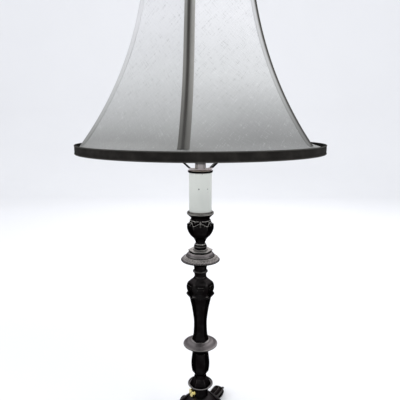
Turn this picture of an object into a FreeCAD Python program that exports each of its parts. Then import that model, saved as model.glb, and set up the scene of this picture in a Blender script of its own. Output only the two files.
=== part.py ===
import FreeCAD, Part
import math
import os

# Candlestick table lamp: a three-legged cast base, a stack of turned and six-sided
# bronze pieces clamped on one threaded pipe, a candle sleeve, a harp with a bulb
# socket, and a six-panel bell shade that hangs on the harp's stud under a finial.
# Millimetres, +Z up, origin on the table under the lamp's axis, front towards -Y.

Vector = FreeCAD.Vector

# ---------------------------------------------------------------- driving sizes
# common fits
pipe_radius = 4.9             # threaded lamp pipe
pipe_bore_radius = 3.2
bore_clearance = 0.15         # pieces threaded over the pipe
running_clearance = 0.06      # parts that turn or slide on a pin
soft_gap = 0.3                # between parts of different bodies that don't fit together
seat_gap = 0.1                # between pressed sheet-metal parts
cutting_margin = 20.0         # how far a cutting shape reaches past its work

# base
pad_thickness = 1.5
pad_radius = 4.5
pad_reach = 107.0             # pad centre from the axis
leg_count = 3
leg_first_angle = 70.0        # direction of the rear right leg
leg_reach = 118.0
leg_root_reach = 28.0
leg_root_top = 50.0
leg_root_under = 35.0
leg_root_half_width = 13.5
leg_waist_half_width = 10.2
leg_toe_half_width = 2.5
toe_height = 6.0
toe_flat = 18.0
hub_bottom = 20.0
hub_height = 49.0
hub_radius = 45.0
hub_bead = 1.6
hub_top_radius = 13.0
hub_wall = 5.5
hub_roof = 17.0
cavity_cone = 15.5             # how much the hub's cavity narrows up to its roof
cover_thickness = 2.0
cover_gap = 0.3
ballast_height = 17.0
ballast_gap = 4.6             # room for the bolt heads round the ballast
base_nut_height = 6.0
base_nut_radius = 9.5
washer_thickness = 2.0
washer_radius = 14.0
leg_bolt_radius = 2.5
leg_bolt_head_radius = 4.0
leg_bolt_head_height = 3.4
leg_bolt_grip = 10.0
leg_bolt_height = 27.5
bushing_angle = 130.0
bushing_radius = 5.5
bushing_bore_radius = 3.6
bushing_flange_radius = 7.5
bushing_flange = 2.0
bushing_height = 33.0

# column pieces, from the base upwards
column_height = 15.0
column_radius = 12.5
lock_screw_angle = 207.0
lock_screw_rise = 6.8         # above the foot of the column
lock_screw_head_radius = 6.3
lock_screw_head_height = 5.0
lock_screw_shank_radius = 3.0
lock_screw_slot = 1.4
dish_radius = 20.3
dish_floor = 3.0
dish_height = 6.0
dish_rim = 1.5
knop_height = 58.0
knop_foot_radius = 17.0
knop_waist_radius = 9.2
knop_radius = 14.6
knop_top_radius = 12.5
saucer_height = 21.0
saucer_radius = 27.1
saucer_edge = 1.8
shaft_height = 74.0
shaft_foot_radius = 13.4
shaft_waist_radius = 10.2
shaft_top_radius = 17.3
vase_height = 32.0
vase_radius = 21.0
vase_collar_radius = 20.4
vase_neck_radius = 9.4
neck_height = 18.0
neck_ring_radius = 11.6
neck_top_radius = 10.5
drip_plate_height = 15.4
drip_plate_radius = 29.75
drip_plate_edge = 2.2
step_height = 6.4
step_radius = 22.0
spacer_height = 1.7
spacer_radius = 16.5
hex_plate_height = 1.8
hex_plate_radius = 18.8
torus_height = 9.4
torus_radius = 10.0
urn_height = 51.2
urn_foot_radius = 8.2
urn_stem_radius = 7.3
urn_radius = 20.4
urn_neck_radius = 14.5
urn_lip_radius = 20.4
urn_lip_edge = 3.2
urn_lip_ring = 1.7            # height of the narrower ring on top of the lip
cup_depth = 3.5
sleeve_height = 61.5
sleeve_radius = 17.0
sleeve_wall = 1.4
sleeve_cap_height = 3.4
sleeve_cap_radius = 18.6
sleeve_cap_plug = 3.0

# harp
harp_angle = 10.0             # direction of the harp's right leg
harp_spread = 34.0            # leg from the axis, at the saddle
harp_bow = 58.0               # leg from the axis, at the widest
harp_height = 265.1           # from the foot of a leg to the top of the bow
harp_wire_radius = 2.0
saddle_thickness = 2.0
saddle_width = 12.0
saddle_flat = 14.6            # half length of the flat middle
saddle_rise = 16.5
post_height = 7.0
ferrule_height = 14.0
ferrule_wall = 1.6
ferrule_travel = 12.0
coupling_nut_height = 10.0
coupling_nut_radius = 8.0
harp_pad_radius = 7.0
harp_pad_height = 4.0
stud_radius = 3.15
stud_height = 13.0

# socket
socket_neck_radius = 8.0
socket_radius = 17.5
socket_cap_height = 19.5
socket_cap_wall = 1.0
socket_shell_height = 44.0
socket_shell_wall = 0.6
liner_wall = 0.5
socket_block_height = 20.0
screw_shell_height = 20.0
screw_shell_wall = 0.6
contact_radius = 3.5
contact_height = 1.4
knob_rise = 12.0              # knob axis above the socket shell's foot
knob_stem_radius = 2.2
knob_radius = 5.5
knob_length = 13.0
knob_standoff = 5.0

# bulb
bulb_base_radius = 13.1
bulb_base_height = 24.0
bulb_radius = 30.0
bulb_height = 84.0
bulb_neck_radius = 13.6

# shade
rib_count = 6
rib_first_angle = -95.9       # rib next to the middle of the front
ring_radius = 176.8           # cover's outside at the bottom ring
top_ring_radius = 76.2        # cover's outside at the top ring
shade_drop = 270.0            # from top ring to bottom ring
washer_recess = 10.7          # spider's washer below the top ring
rib_bow = 461.0               # radius of a rib's curve
hem_fade = 7.5                # height in which the round hem turns into flat panels
top_fade = 22.0               # the same at the top ring
panel_fullness = 0.03         # share of the round bulge that a panel keeps all the way
cover_wall = 0.8
rib_wire_radius = 1.5
ring_wire_radius = 1.8
bottom_ring_inset = 4.3       # ring's centre line from the cover's outside
top_ring_inset = 3.1
lining_wall = 0.6
lining_gap = 0.5
lining_hem = 4.5
trim_width = 15.5
trim_wall = 0.9
rim_band_height = 12.2
rim_band_below = 5.5          # how far the band hangs below the bottom ring
rim_band_wall = 1.2
top_band_height = 11.0
spider_arms = 3
spider_arm_radius = 1.6
spider_washer_radius = 12.0
spider_washer_height = 2.0
finial_height = 42.0
finial_radius = 9.0
finial_neck_radius = 4.6
finial_socket = 12.0

# ------------------------------------------------------------- derived heights
hub_top = hub_bottom + hub_height
column_z = hub_top
dish_z = column_z + column_height
knop_z = dish_z + dish_floor
saucer_z = knop_z + knop_height
shaft_z = saucer_z + saucer_height
vase_z = shaft_z + shaft_height
neck_z = vase_z + vase_height
drip_plate_z = neck_z + neck_height
step_z = drip_plate_z + drip_plate_height
spacer_z = step_z + step_height
hex_plate_z = spacer_z + spacer_height
torus_z = hex_plate_z + hex_plate_height
urn_z = torus_z + torus_height
urn_top = urn_z + urn_height
sleeve_z = urn_top - cup_depth
sleeve_top = sleeve_z + sleeve_height
saddle_z = sleeve_top + sleeve_cap_height
nut_z = saddle_z + saddle_thickness
socket_z = nut_z + coupling_nut_height
shell_z = socket_z + socket_cap_height - 5.0
block_z = shell_z + 3.0
screw_shell_z = block_z + socket_block_height - 2.0
bulb_z = screw_shell_z + contact_height + soft_gap
glass_z = bulb_z + bulb_base_height
tab_z = saddle_z + saddle_rise
harp_foot_z = tab_z + post_height + seat_gap
harp_top_z = harp_foot_z + harp_height
harp_pad_top = harp_top_z + harp_wire_radius + 1.0
washer_z = harp_pad_top + soft_gap
finial_z = washer_z + spider_washer_height + soft_gap
top_ring_z = washer_z + washer_recess
ring_height = top_ring_z - shade_drop
pipe_foot = hub_bottom + cover_thickness + 1.0
pipe_top = socket_z + socket_cap_height * 0.45
ballast_z = hub_top - hub_roof - ballast_height
bore = pipe_radius + bore_clearance
socket_gap = socket_radius - socket_shell_wall - liner_wall - 2 * seat_gap
stem_hole = knob_stem_radius + running_clearance
pin_hole = stud_radius + running_clearance


# ------------------------------------------------------------------- helpers
def polar(radius, angle, z=0.0):
    """Point at a radius and a direction in degrees."""
    turn = math.radians(angle)
    return Vector(radius * math.cos(turn), radius * math.sin(turn), z)


def rod(radius, low, high):
    """Upright cylinder on the axis."""
    return Part.makeCylinder(radius, high - low, Vector(0, 0, low))


def tube(outer, inner, low, high):
    """Upright tube on the axis."""
    return rod(outer, low, high).cut(rod(inner, low - 1, high + 1))


def pin(radius, start, end):
    """Cylinder between two points."""
    way = end.sub(start)
    return Part.makeCylinder(radius, way.Length, start, way)


def line(start, end):
    return Part.LineSegment(start, end).toShape()


def curve(points):
    """Straight edge through two points, or a smooth one through more."""
    if len(points) == 2:
        return line(points[0], points[1])
    smooth = Part.BSplineCurve()
    smooth.interpolate(points)
    return smooth.toShape()


def closed_face(runs, place):
    """Face whose outline joins several runs of (across, up) points by straight lines."""
    edges = []
    last = None
    for run in runs:
        points = [place(across, up) for across, up in run]
        if last is not None and last.distanceToPoint(points[0]) > 1e-7:
            edges.append(line(last, points[0]))
        edges.append(curve(points))
        last = points[-1]
    first = place(*runs[0][0])
    if last.distanceToPoint(first) > 1e-7:
        edges.append(line(last, first))
    return Part.Face(Part.Wire(edges))


def turned(runs, hole):
    """Solid of revolution: (r, z) outline runs from foot to top, round a hole."""
    foot = runs[0][0][1]
    top = runs[-1][-1][1]
    outline = runs + [[(hole, top), (hole, foot)]]
    face = closed_face(outline, lambda r, z: Vector(r, 0, z))
    return face.revolve(Vector(0, 0, 0), Vector(0, 0, 1), 360)


def hexagon(radius, z):
    """Six-sided wire with one flat side towards the front."""
    corners = [polar(radius, 60 * k, z) for k in range(7)]
    return Part.makePolygon(corners)


def six_sided(sections, hole):
    """Solid through six-sided (z, corner radius) sections, round a hole."""
    body = Part.makeLoft([hexagon(radius, z) for z, radius in sections], True, True)
    return body.cut(rod(hole, sections[0][0] - 1, sections[-1][0] + 1))


def hex_nut(radius, low, height, hole):
    return six_sided([(low, radius), (low + height, radius)], hole)


def group(solids):
    return Part.makeCompound(solids)


def around(count, first):
    """Evenly spaced directions."""
    return [first + 360.0 * k / count for k in range(count)]


def spun(shape, angle):
    """Copy of a shape turned about the axis."""
    copy = shape.copy()
    copy.rotate(Vector(0, 0, 0), Vector(0, 0, 1), angle)
    return copy


def rounded_wire(points, bends):
    """Straight runs joined by tangent arcs; bends holds a radius for each inner point."""
    edges = []
    start = points[0]
    for before, corner, after, radius in zip(points, points[1:], points[2:], bends):
        into = corner.sub(before).normalize()
        out = after.sub(corner).normalize()
        turn = into.getAngle(out)
        reach = radius * math.tan(turn / 2)
        first = corner.sub(into * reach)
        second = corner.add(out * reach)
        inward = out.sub(into).normalize()
        middle = corner.add(inward * (radius / math.cos(turn / 2) - radius))
        edges.append(line(start, first))
        edges.append(Part.Arc(first, middle, second).toShape())
        start = second
    edges.append(line(start, points[-1]))
    return Part.Wire(edges)


# ---------------------------------------------------------------------- base
def hub_outside():
    """(r, z) runs of the bell-shaped hub, from its bead to the seat of the column."""
    z = hub_bottom
    rise = hub_height
    return [
        [(hub_radius, z), (hub_radius + hub_bead, z + 3.0), (hub_radius, z + 6.0)],
        [(hub_radius - 0.6, z + 6.0), (hub_radius - 2.4, z + 0.40 * rise),
         (hub_radius - 9.0, z + 0.571 * rise), (hub_top_radius + 14.0, z + 0.755 * rise),
         (hub_top_radius + 7.5, z + 0.898 * rise), (hub_top_radius + 3.0, z + 0.971 * rise),
         (hub_top_radius, z + rise)],
    ]


def hub_cavity():
    """Hollow of the hub: a drum with a coned roof."""
    wide = hub_radius - hub_wall
    shoulder = hub_bottom + 0.40 * hub_height
    roof = hub_top - hub_roof
    runs = [[(wide, hub_bottom - 1), (wide, shoulder)], [(wide - cavity_cone, roof), (bore, roof)]]
    return turned(runs, 0.5)


def make_ballast():
    wide = hub_radius - hub_wall - ballast_gap
    narrow = hub_radius - hub_wall - cavity_cone - cover_gap - 4.0
    low = ballast_z
    high = ballast_z + ballast_height
    return turned([[(wide, low), (wide, low + 3.0)], [(narrow, high - 0.2), (bore, high - 0.2)]], bore)


def leg_bolt_seat():
    """Reach at which a flat bolt head meets the curved inner wall."""
    return math.sqrt((hub_radius - hub_wall) ** 2 - leg_bolt_head_radius ** 2) - seat_gap


def make_leg_bolts():
    bolts = []
    inner = leg_bolt_seat()
    for angle in around(leg_count, leg_first_angle):
        seat = polar(inner, angle, leg_bolt_height)
        tip = polar(inner + leg_bolt_grip, angle, leg_bolt_height)
        head = polar(inner - leg_bolt_head_height, angle, leg_bolt_height)
        bolts.append(pin(leg_bolt_head_radius, head, seat).fuse(pin(leg_bolt_radius, head, tip)))
    return group(bolts)


def leg_bolt_holes():
    inner = leg_bolt_seat()
    holes = []
    for angle in around(leg_count, leg_first_angle):
        start = polar(inner - 1.0, angle, leg_bolt_height)
        end = polar(inner + leg_bolt_grip + 1.0, angle, leg_bolt_height)
        holes.append(pin(leg_bolt_radius + running_clearance, start, end))
    return holes


def bushing_line(start, end):
    first = polar(start, bushing_angle, bushing_height)
    return first, polar(end, bushing_angle, bushing_height)


def make_cord_bushing():
    outer = hub_radius - 0.4
    inner = hub_radius - hub_wall
    start, end = bushing_line(inner - 0.5, outer + bushing_flange)
    rim, face = bushing_line(outer, outer + bushing_flange)
    through = bushing_line(inner - 5.0, outer + 8.0)
    body = pin(bushing_radius, start, end).fuse(pin(bushing_flange_radius, rim, face))
    return body.cut(hub_skin(bushing_radius)).cut(pin(bushing_bore_radius, *through))


def hub_skin(opening):
    """Wall of the hub with a round opening for the bushing."""
    wall = turned(hub_outside(), bore).cut(hub_cavity())
    return wall.cut(pin(opening, *bushing_line(hub_radius - hub_wall - 6.0, hub_radius + 10.0)))


def make_hub():
    body = hub_skin(bushing_radius)
    for hole in leg_bolt_holes():
        body = body.cut(hole)
    return body


def make_leg(angle):
    """Arched leg: its side outline and its round-ended plan, crossed."""
    root = leg_root_reach
    span = leg_reach - root
    fall = leg_root_top - toe_height
    toe_foot = leg_reach - toe_flat
    top = [(root, leg_root_top), (root + 0.22 * span, leg_root_top - 0.33 * fall),
           (root + 0.42 * span, leg_root_top - 0.59 * fall),
           (root + 0.66 * span, leg_root_top - 0.74 * fall),
           (root + 0.87 * span, leg_root_top - 0.83 * fall),
           (leg_reach, toe_height)]
    under_fall = leg_root_under - pad_thickness
    under = [(toe_foot, pad_thickness), (toe_foot - 14.0, pad_thickness + 0.14 * under_fall),
             (root + 0.42 * span, pad_thickness + 0.33 * under_fall),
             (root + 0.2 * span, pad_thickness + 0.66 * under_fall), (root, leg_root_under)]
    side = closed_face([top, [(leg_reach, pad_thickness), (toe_foot, pad_thickness)], under],
                       lambda r, z: Vector(r, -2 * cutting_margin, z))
    plan_side = [(root, leg_root_half_width), (root + 0.27 * span, leg_waist_half_width + 1.4),
                 (root + 0.55 * span, leg_waist_half_width),
                 (root + 0.80 * span, leg_waist_half_width - 0.6),
                 (root + 0.93 * span, leg_waist_half_width - 2.6),
                 (root + 0.98 * span, leg_toe_half_width + 2.2),
                 (leg_reach, leg_toe_half_width)]
    mirrored = [(r, -w) for r, w in reversed(plan_side)]
    plan = closed_face([plan_side, mirrored], lambda r, w: Vector(r, w, -cutting_margin / 4))
    across = Vector(0, 4 * cutting_margin, 0)
    upward = Vector(0, 0, leg_root_top + cutting_margin)
    leg = side.extrude(across).common(plan.extrude(upward))
    leg = spun(leg, angle).cut(turned(hub_outside(), 0.5))
    for hole in leg_bolt_holes():
        leg = leg.cut(hole)
    return leg


def make_felt_pads():
    pads = []
    for angle in around(leg_count, leg_first_angle):
        pads.append(Part.makeCylinder(pad_radius, pad_thickness, polar(pad_reach, angle)))
    return group(pads)


def make_base_cover():
    return rod(hub_radius - hub_wall - cover_gap, hub_bottom, hub_bottom + cover_thickness)


# -------------------------------------------------------------------- column
def make_lower_column():
    z = column_z
    r = column_radius
    body = turned([[(r, z), (r, z + column_height)]], bore)
    start, end = lock_screw_line(0.0, column_radius + 5.0)
    return body.cut(pin(lock_screw_shank_radius + running_clearance, start, end))


def lock_screw_line(inner, outer):
    z = column_z + lock_screw_rise
    return polar(inner, lock_screw_angle, z), polar(outer, lock_screw_angle, z)


def make_lock_screw():
    """Slotted brass screw that locks the column to the pipe."""
    seat = column_radius - 0.2
    shank = pin(lock_screw_shank_radius, *lock_screw_line(pipe_radius, seat + 1.0))
    head = pin(lock_screw_head_radius, *lock_screw_line(seat, seat + lock_screw_head_height))
    body = shank.fuse(head).cut(rod(pipe_radius + seat_gap, column_z - 5, dish_z + 5))
    body = body.cut(rod(column_radius, column_z, dish_z).cut(shank))
    slot = Part.makeBox(2.0, 3 * lock_screw_head_radius, lock_screw_slot,
                        Vector(-1.0, -1.5 * lock_screw_head_radius, -lock_screw_slot / 2))
    slot.rotate(Vector(0, 0, 0), Vector(1, 0, 0), 52)
    slot = spun(slot, lock_screw_angle)
    slot.translate(lock_screw_line(0, seat + lock_screw_head_height)[1])
    return body.cut(slot)


def make_collar_dish():
    z = dish_z
    floor = z + dish_floor
    rim = z + dish_height
    inside = dish_radius - dish_rim
    runs = [
        [(column_radius, z), (column_radius + 0.3 * (dish_radius - column_radius), z + 0.4 * dish_height),
         (dish_radius, rim - dish_rim)],
        [(dish_radius, rim), (inside, rim)],
        [(inside - 1.5, floor), (bore, floor)],
    ]
    return turned(runs, bore)


def make_knop():
    z = knop_z
    k = knop_height
    waist = knop_waist_radius
    return six_sided([
        (z, knop_foot_radius), (z + 0.06 * k, knop_foot_radius - 0.7), (z + 0.12 * k, waist + 5.3),
        (z + 0.185 * k, waist + 3.0), (z + 0.25 * k, waist + 0.8), (z + 0.32 * k, waist),
        (z + 0.40 * k, knop_radius - 1.8), (z + 0.53 * k, knop_radius - 0.4),
        (z + 0.66 * k, knop_radius), (z + 0.83 * k, knop_radius - 0.8), (z + k, knop_top_radius)], bore)


def make_saucer():
    z = saucer_z
    k = saucer_height
    under = z + 0.64 * k
    return turned([
        [(knop_top_radius, z), (knop_top_radius + 2.0, z + 0.16 * k),
         (0.8 * saucer_radius, z + 0.46 * k), (saucer_radius, under)],
        [(saucer_radius, under), (saucer_radius, under + saucer_edge)],
        [(saucer_radius, under + saucer_edge), (0.74 * saucer_radius, z + 0.88 * k),
         (shaft_foot_radius + 0.8, z + k)]], bore)


def make_shaft():
    z = shaft_z
    k = shaft_height
    foot = shaft_foot_radius
    waist = shaft_waist_radius
    top = shaft_top_radius
    return six_sided([
        (z, foot), (z + 0.05 * k, foot - 0.8), (z + 0.12 * k, waist + 1.0), (z + 0.22 * k, waist + 0.3),
        (z + 0.33 * k, waist), (z + 0.44 * k, waist), (z + 0.58 * k, waist + 1.2),
        (z + 0.74 * k, waist + 3.0), (z + 0.89 * k, top - 1.7), (z + k, top)], bore)


def make_vase():
    z = vase_z
    k = vase_height
    r = vase_radius
    neck = vase_neck_radius
    return six_sided([
        (z, shaft_top_radius), (z + 0.03 * k, vase_collar_radius - 0.2), (z + 0.14 * k, vase_collar_radius),
        (z + 0.22 * k, vase_collar_radius - 0.8), (z + 0.38 * k, r - 0.2), (z + 0.51 * k, r),
        (z + 0.69 * k, r - 1.6), (z + 0.84 * k, neck + 5.0), (z + 0.94 * k, neck + 1.2), (z + k, neck)], bore)


def make_neck_ring():
    z = neck_z
    k = neck_height
    low = vase_neck_radius - 0.2
    high = neck_top_radius
    return turned([
        [(low, z), (low, z + 0.2 * k), (high - 0.7, z + 0.36 * k)],
        [(high - 0.6, z + 0.36 * k), (neck_ring_radius, z + 0.48 * k), (high - 0.6, z + 0.60 * k)],
        [(high - 0.8, z + 0.60 * k), (high - 0.6, z + 0.85 * k), (high, z + k)]], bore)


def make_drip_plate():
    z = drip_plate_z
    k = drip_plate_height
    r = drip_plate_radius
    under = z + 0.545 * k
    top = under + drip_plate_edge
    return turned([
        [(neck_top_radius, z), (neck_top_radius + 5.5, z + 0.28 * k), (0.84 * r, z + 0.46 * k), (r, under)],
        [(r, under), (r, top)],
        [(r, top), (r - 1.6, top + 0.26 * (z + k - top)), (r - 4.4, top + 0.66 * (z + k - top)),
         (step_radius + 0.3, z + k)]], bore)


def make_round_step():
    z = step_z
    k = step_height
    r = step_radius
    return turned([[(r - 0.4, z), (r, z + 0.12 * k), (r - 1.2, z + 0.45 * k), (r - 4.4, z + k)]], bore)


def make_spacer_ring():
    z = spacer_z
    r = spacer_radius
    return turned([[(r, z), (r - 1.0, z + spacer_height / 2), (r, z + spacer_height)]], bore)


def make_hex_plate():
    return hex_nut(hex_plate_radius, hex_plate_z, hex_plate_height, bore)


def make_torus_ring():
    z = torus_z
    k = torus_height
    r = torus_radius
    return turned([
        [(r + 1.4, z), (r + 1.0, z + 0.13 * k)],
        [(r - 1.6, z + 0.17 * k), (r - 0.2, z + 0.38 * k), (r, z + 0.52 * k), (r - 0.8, z + 0.82 * k),
         (urn_foot_radius + 0.3, z + k)]], bore)


def make_urn_cup():
    """Six-lobed body with a round moulded lip that holds the foot of the sleeve."""
    z = urn_z
    k = urn_height
    neck = urn_neck_radius
    body = six_sided([
        (z, urn_foot_radius), (z + 0.035 * k, urn_stem_radius), (z + 0.09 * k, urn_stem_radius + 0.9),
        (z + 0.148 * k, urn_stem_radius + 2.4), (z + 0.26 * k, urn_radius - 5.1),
        (z + 0.38 * k, urn_radius - 1.6), (z + 0.508 * k, urn_radius), (z + 0.578 * k, urn_radius - 0.5),
        (z + 0.637 * k, urn_radius - 3.4), (z + 0.736 * k, neck)], bore)
    throat = z + 0.73 * k
    ring = urn_top - urn_lip_ring
    edge = ring - urn_lip_edge
    lip = turned([
        [(neck - 0.6, throat), (neck + 0.2, z + 0.80 * k), (urn_lip_radius - 3.4, z + 0.85 * k),
         (urn_lip_radius, edge)],
        [(urn_lip_radius, edge), (urn_lip_radius, ring)],
        [(urn_lip_radius - 1.9, ring), (urn_lip_radius - 1.9, urn_top)]], bore)
    cup = rod(sleeve_radius + seat_gap, sleeve_z, urn_top + 1)
    return body.fuse(lip).removeSplitter().cut(cup)


def make_candle_sleeve():
    return tube(sleeve_radius, sleeve_radius - sleeve_wall, sleeve_z, sleeve_top)


def make_sleeve_cap():
    plug = sleeve_radius - sleeve_wall - seat_gap
    z = sleeve_top
    r = sleeve_cap_radius
    lip = [[(r - 1.6, z), (r, z + 0.4 * sleeve_cap_height)], [(r, z + 0.4 * sleeve_cap_height), (r, saddle_z)]]
    return turned(lip, bore).fuse(tube(plug, bore, z - sleeve_cap_plug, z)).removeSplitter()


# ---------------------------------------------------------------------- harp
def in_harp_plane(u, z):
    return polar(u, harp_angle, z)


def make_harp_saddle():
    """Bent strip with a post at each end."""
    t = saddle_thickness
    low = saddle_z
    high = tab_z
    tab_in = harp_spread - 4.5
    tab_out = harp_spread + 3.5
    half = [(0, low), (saddle_flat, low), (tab_in, high - t), (tab_out, high - t),
            (tab_out, high), (tab_in - 0.8, high), (saddle_flat - 0.8, low + t), (0, low + t)]
    right = [Vector(u, -saddle_width / 2, z) for u, z in half]
    left = [Vector(-u, -saddle_width / 2, z) for u, z in reversed(half[1:-1])]
    outline = Part.makePolygon(right + left + [right[0]])
    strip = Part.Face(outline).extrude(Vector(0, saddle_width, 0))
    strip = strip.cut(rod(bore, low - 1, low + t + 1))
    for side in (-1, 1):
        foot = Vector(side * harp_spread, 0, high - t)
        strip = strip.fuse(Part.makeCylinder(harp_wire_radius, t + post_height, foot))
    return spun(strip.removeSplitter(), harp_angle)


def make_harp():
    """Bent wire bow from one ferrule over the bulb to the other."""
    low = harp_foot_z
    k = harp_height
    half = [(harp_spread, low), (harp_spread, low + 0.16 * k), (harp_bow, low + 0.38 * k),
            (harp_bow, low + 0.60 * k), (0.62 * harp_bow, low + 0.87 * k), (0.30 * harp_bow, low + k)]
    right = [Vector(u, 0, z) for u, z in half]
    left = [Vector(-u, 0, z) for u, z in reversed(half)]
    bends = [70.0, 90.0, 110.0, 70.0, 14.0]
    path = rounded_wire(right + left, bends + bends[::-1])
    ring = Part.Wire(Part.makeCircle(harp_wire_radius, right[0], Vector(0, 0, 1)))
    return spun(path.makePipeShell([ring], True, False), harp_angle)


def make_harp_top():
    """Pad seated over the middle of the bow, with the threaded stud that carries the shade."""
    low = harp_pad_top - harp_pad_height
    reach = harp_pad_radius + 1.0
    groove = pin(harp_wire_radius + seat_gap, in_harp_plane(-reach, harp_top_z),
                 in_harp_plane(reach, harp_top_z))
    pad = rod(harp_pad_radius, low, harp_pad_top).cut(groove)
    stud = rod(stud_radius, harp_pad_top, harp_pad_top + stud_height)
    return pad.fuse(stud)


def make_ferrule(side):
    inner = harp_wire_radius + running_clearance
    low = tab_z + soft_gap
    shape = tube(inner + ferrule_wall, inner, low, low + ferrule_height)
    shape.translate(polar(side * harp_spread, harp_angle))
    return shape


# -------------------------------------------------------------------- socket
def make_socket_cap():
    """Bell-shaped cap with a threaded neck."""
    z = socket_z
    top = socket_z + socket_cap_height
    wall = socket_cap_wall
    outer = socket_radius + seat_gap + wall
    shell_seat = socket_radius + seat_gap
    outside = turned([
        [(socket_neck_radius, z), (socket_neck_radius, z + 0.3 * socket_cap_height)],
        [(socket_neck_radius + 3.0, z + 0.36 * socket_cap_height),
         (outer - 1.5, z + 0.55 * socket_cap_height), (outer, shell_z - 1.0)],
        [(outer, shell_z - 1.0), (outer, top)]], bore)
    hollow = turned([
        [(socket_neck_radius, pipe_top), (outer - 2.5, z + 0.62 * socket_cap_height), (outer - 2.5, shell_z)],
        [(shell_seat, shell_z), (shell_seat, top + 1)]], 0.5)
    return outside.cut(hollow)


def knob_line(inner, outer):
    z = shell_z + knob_rise
    return polar(inner, harp_angle - 90.0, z), polar(outer, harp_angle - 90.0, z)


def knob_hole(radius):
    return pin(radius, *knob_line(6.0, socket_radius + 5.0))


def make_socket_shell():
    shell = tube(socket_radius, socket_radius - socket_shell_wall, shell_z, shell_z + socket_shell_height)
    return shell.cut(knob_hole(knob_stem_radius + 0.6))


def make_socket_liner():
    outer = socket_radius - socket_shell_wall - seat_gap
    liner = tube(outer, outer - liner_wall, shell_z + 1.0, shell_z + socket_shell_height - 1.0)
    return liner.cut(knob_hole(knob_stem_radius + 0.6))


def make_socket_block():
    """Moulded body that holds the screw shell and the switch."""
    block = rod(socket_gap, block_z, block_z + socket_block_height)
    outer = bulb_base_radius + soft_gap + screw_shell_wall
    block = block.cut(rod(outer + seat_gap, screw_shell_z, block_z + socket_block_height + 1))
    return block.cut(knob_hole(stem_hole))


def make_screw_shell():
    inner = bulb_base_radius + soft_gap
    return tube(inner + screw_shell_wall, inner, screw_shell_z, screw_shell_z + screw_shell_height)


def make_centre_contact():
    return rod(contact_radius, screw_shell_z, screw_shell_z + contact_height)


def make_switch_knob():
    """Turning switch key with a waisted barrel."""
    start = socket_radius + knob_standoff
    stem = pin(knob_stem_radius, *knob_line(7.0, start + 1.0))
    barrel = pin(knob_radius, *knob_line(start, start + knob_length))
    return stem.fuse(barrel)


def make_bulb_base():
    z = bulb_z
    r = bulb_base_radius
    return turned([[(contact_radius, z), (contact_radius, z + 1.5)],
                   [(r - 2.5, z + 4.0), (r, z + 6.0)],
                   [(r, z + 6.0), (r, glass_z)]], 0.0)


def make_bulb_glass():
    z = glass_z
    k = bulb_height
    r = bulb_radius
    return turned([[(bulb_neck_radius, z), (bulb_neck_radius + 1.4, z + 0.14 * k),
                    (0.78 * r, z + 0.36 * k), (r, z + 0.64 * k)],
                   [(r, z + 0.64 * k), (0.93 * r, z + 0.80 * k), (0.62 * r, z + 0.945 * k), (0.0, z + k)]], 0.0)


# --------------------------------------------------------------------- shade
def rib_centre():
    """Centre (r, z) of the arc that a rib follows, outside the shade."""
    rise = shade_drop
    inset = ring_radius - top_ring_radius
    chord = math.hypot(rise, inset)
    middle_r = (ring_radius + top_ring_radius) / 2
    middle_z = ring_height + rise / 2
    away = math.sqrt(rib_bow ** 2 - (chord / 2) ** 2)
    return middle_r + away * rise / chord, middle_z + away * inset / chord


def rib_reach(z, inward=0.0):
    """Radius of the rib's line at a height, moved inward by an offset."""
    centre_r, centre_z = rib_centre()
    return centre_r - math.sqrt((rib_bow + inward) ** 2 - (z - centre_z) ** 2)


def panel_reach(z, inward=0.0):
    """Radius of a panel's middle: flat between ribs, round where it meets a ring."""
    reach = rib_reach(z, inward)
    flat = math.cos(math.pi / rib_count)
    hem = math.exp(-((z - ring_height) / hem_fade) ** 2)
    top = math.exp(-((top_ring_z - z) / top_fade) ** 2)
    roundness = panel_fullness + (1 - panel_fullness) * (hem + top)
    return reach * (flat + (1 - flat) * roundness)


def panel_arc(z, inward, angle):
    """Arc across one panel at a height, from its rib at an angle to the next rib."""
    half = 180.0 / rib_count
    start = polar(rib_reach(z, inward), angle, z)
    middle = polar(panel_reach(z, inward), angle + half, z)
    end = polar(rib_reach(z, inward), angle + 2 * half, z)
    return Part.Arc(start, middle, end).toShape()


def shade_section(z, inward):
    """Closed wire of the bell at a height, one arc for each panel."""
    return Part.Wire([panel_arc(z, inward, angle) for angle in around(rib_count, rib_first_angle)])


def shade_heights(low, high):
    """Heights of the cross-sections that a bell is lofted through, closer near the rings."""
    shares = [0.0, 0.008, 0.02, 0.035, 0.055, 0.09, 0.15, 0.25, 0.4, 0.55, 0.7, 0.82, 0.9, 0.96, 1.0]
    return [low + share * (high - low) for share in shares]


def shade_body(low, high, inward):
    """Filled bell between two heights, moved inward by an offset."""
    return Part.makeLoft([shade_section(z, inward) for z in shade_heights(low, high)], True, False)


def gore_section(z, angle):
    """Closed wire of one panel's wall at a height, from its rib at an angle to the next."""
    outside = panel_arc(z, 0.0, angle)
    inside = panel_arc(z, cover_wall, angle)
    ends = [(outside.lastVertex().Point, inside.lastVertex().Point),
            (inside.firstVertex().Point, outside.firstVertex().Point)]
    seams = [Part.makeLine(start, end) for start, end in ends]
    return Part.Wire([outside, seams[0], inside, seams[1]])


def make_shade_panel(angle):
    """One gore of the cover, sewn to its neighbours along the ribs."""
    heights = shade_heights(ring_height, top_ring_z)
    return Part.makeLoft([gore_section(z, angle) for z in heights], True, False)


def make_shade_lining():
    outer = wire_offset() + rib_wire_radius + lining_gap
    low = ring_height + lining_hem
    high = top_ring_z - lining_hem
    return shade_body(low, high, outer).cut(shade_body(low, high, outer + lining_wall))


def wire_offset():
    """How far a rib wire's centre line lies inside the cover's outer corner."""
    return cover_wall + (rib_wire_radius + seat_gap) / math.cos(math.pi / rib_count)


def ring_wire(reach, z):
    return Part.makeTorus(reach, ring_wire_radius, Vector(0, 0, z), Vector(0, 0, 1))


def bottom_ring_reach():
    return ring_radius - bottom_ring_inset


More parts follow.
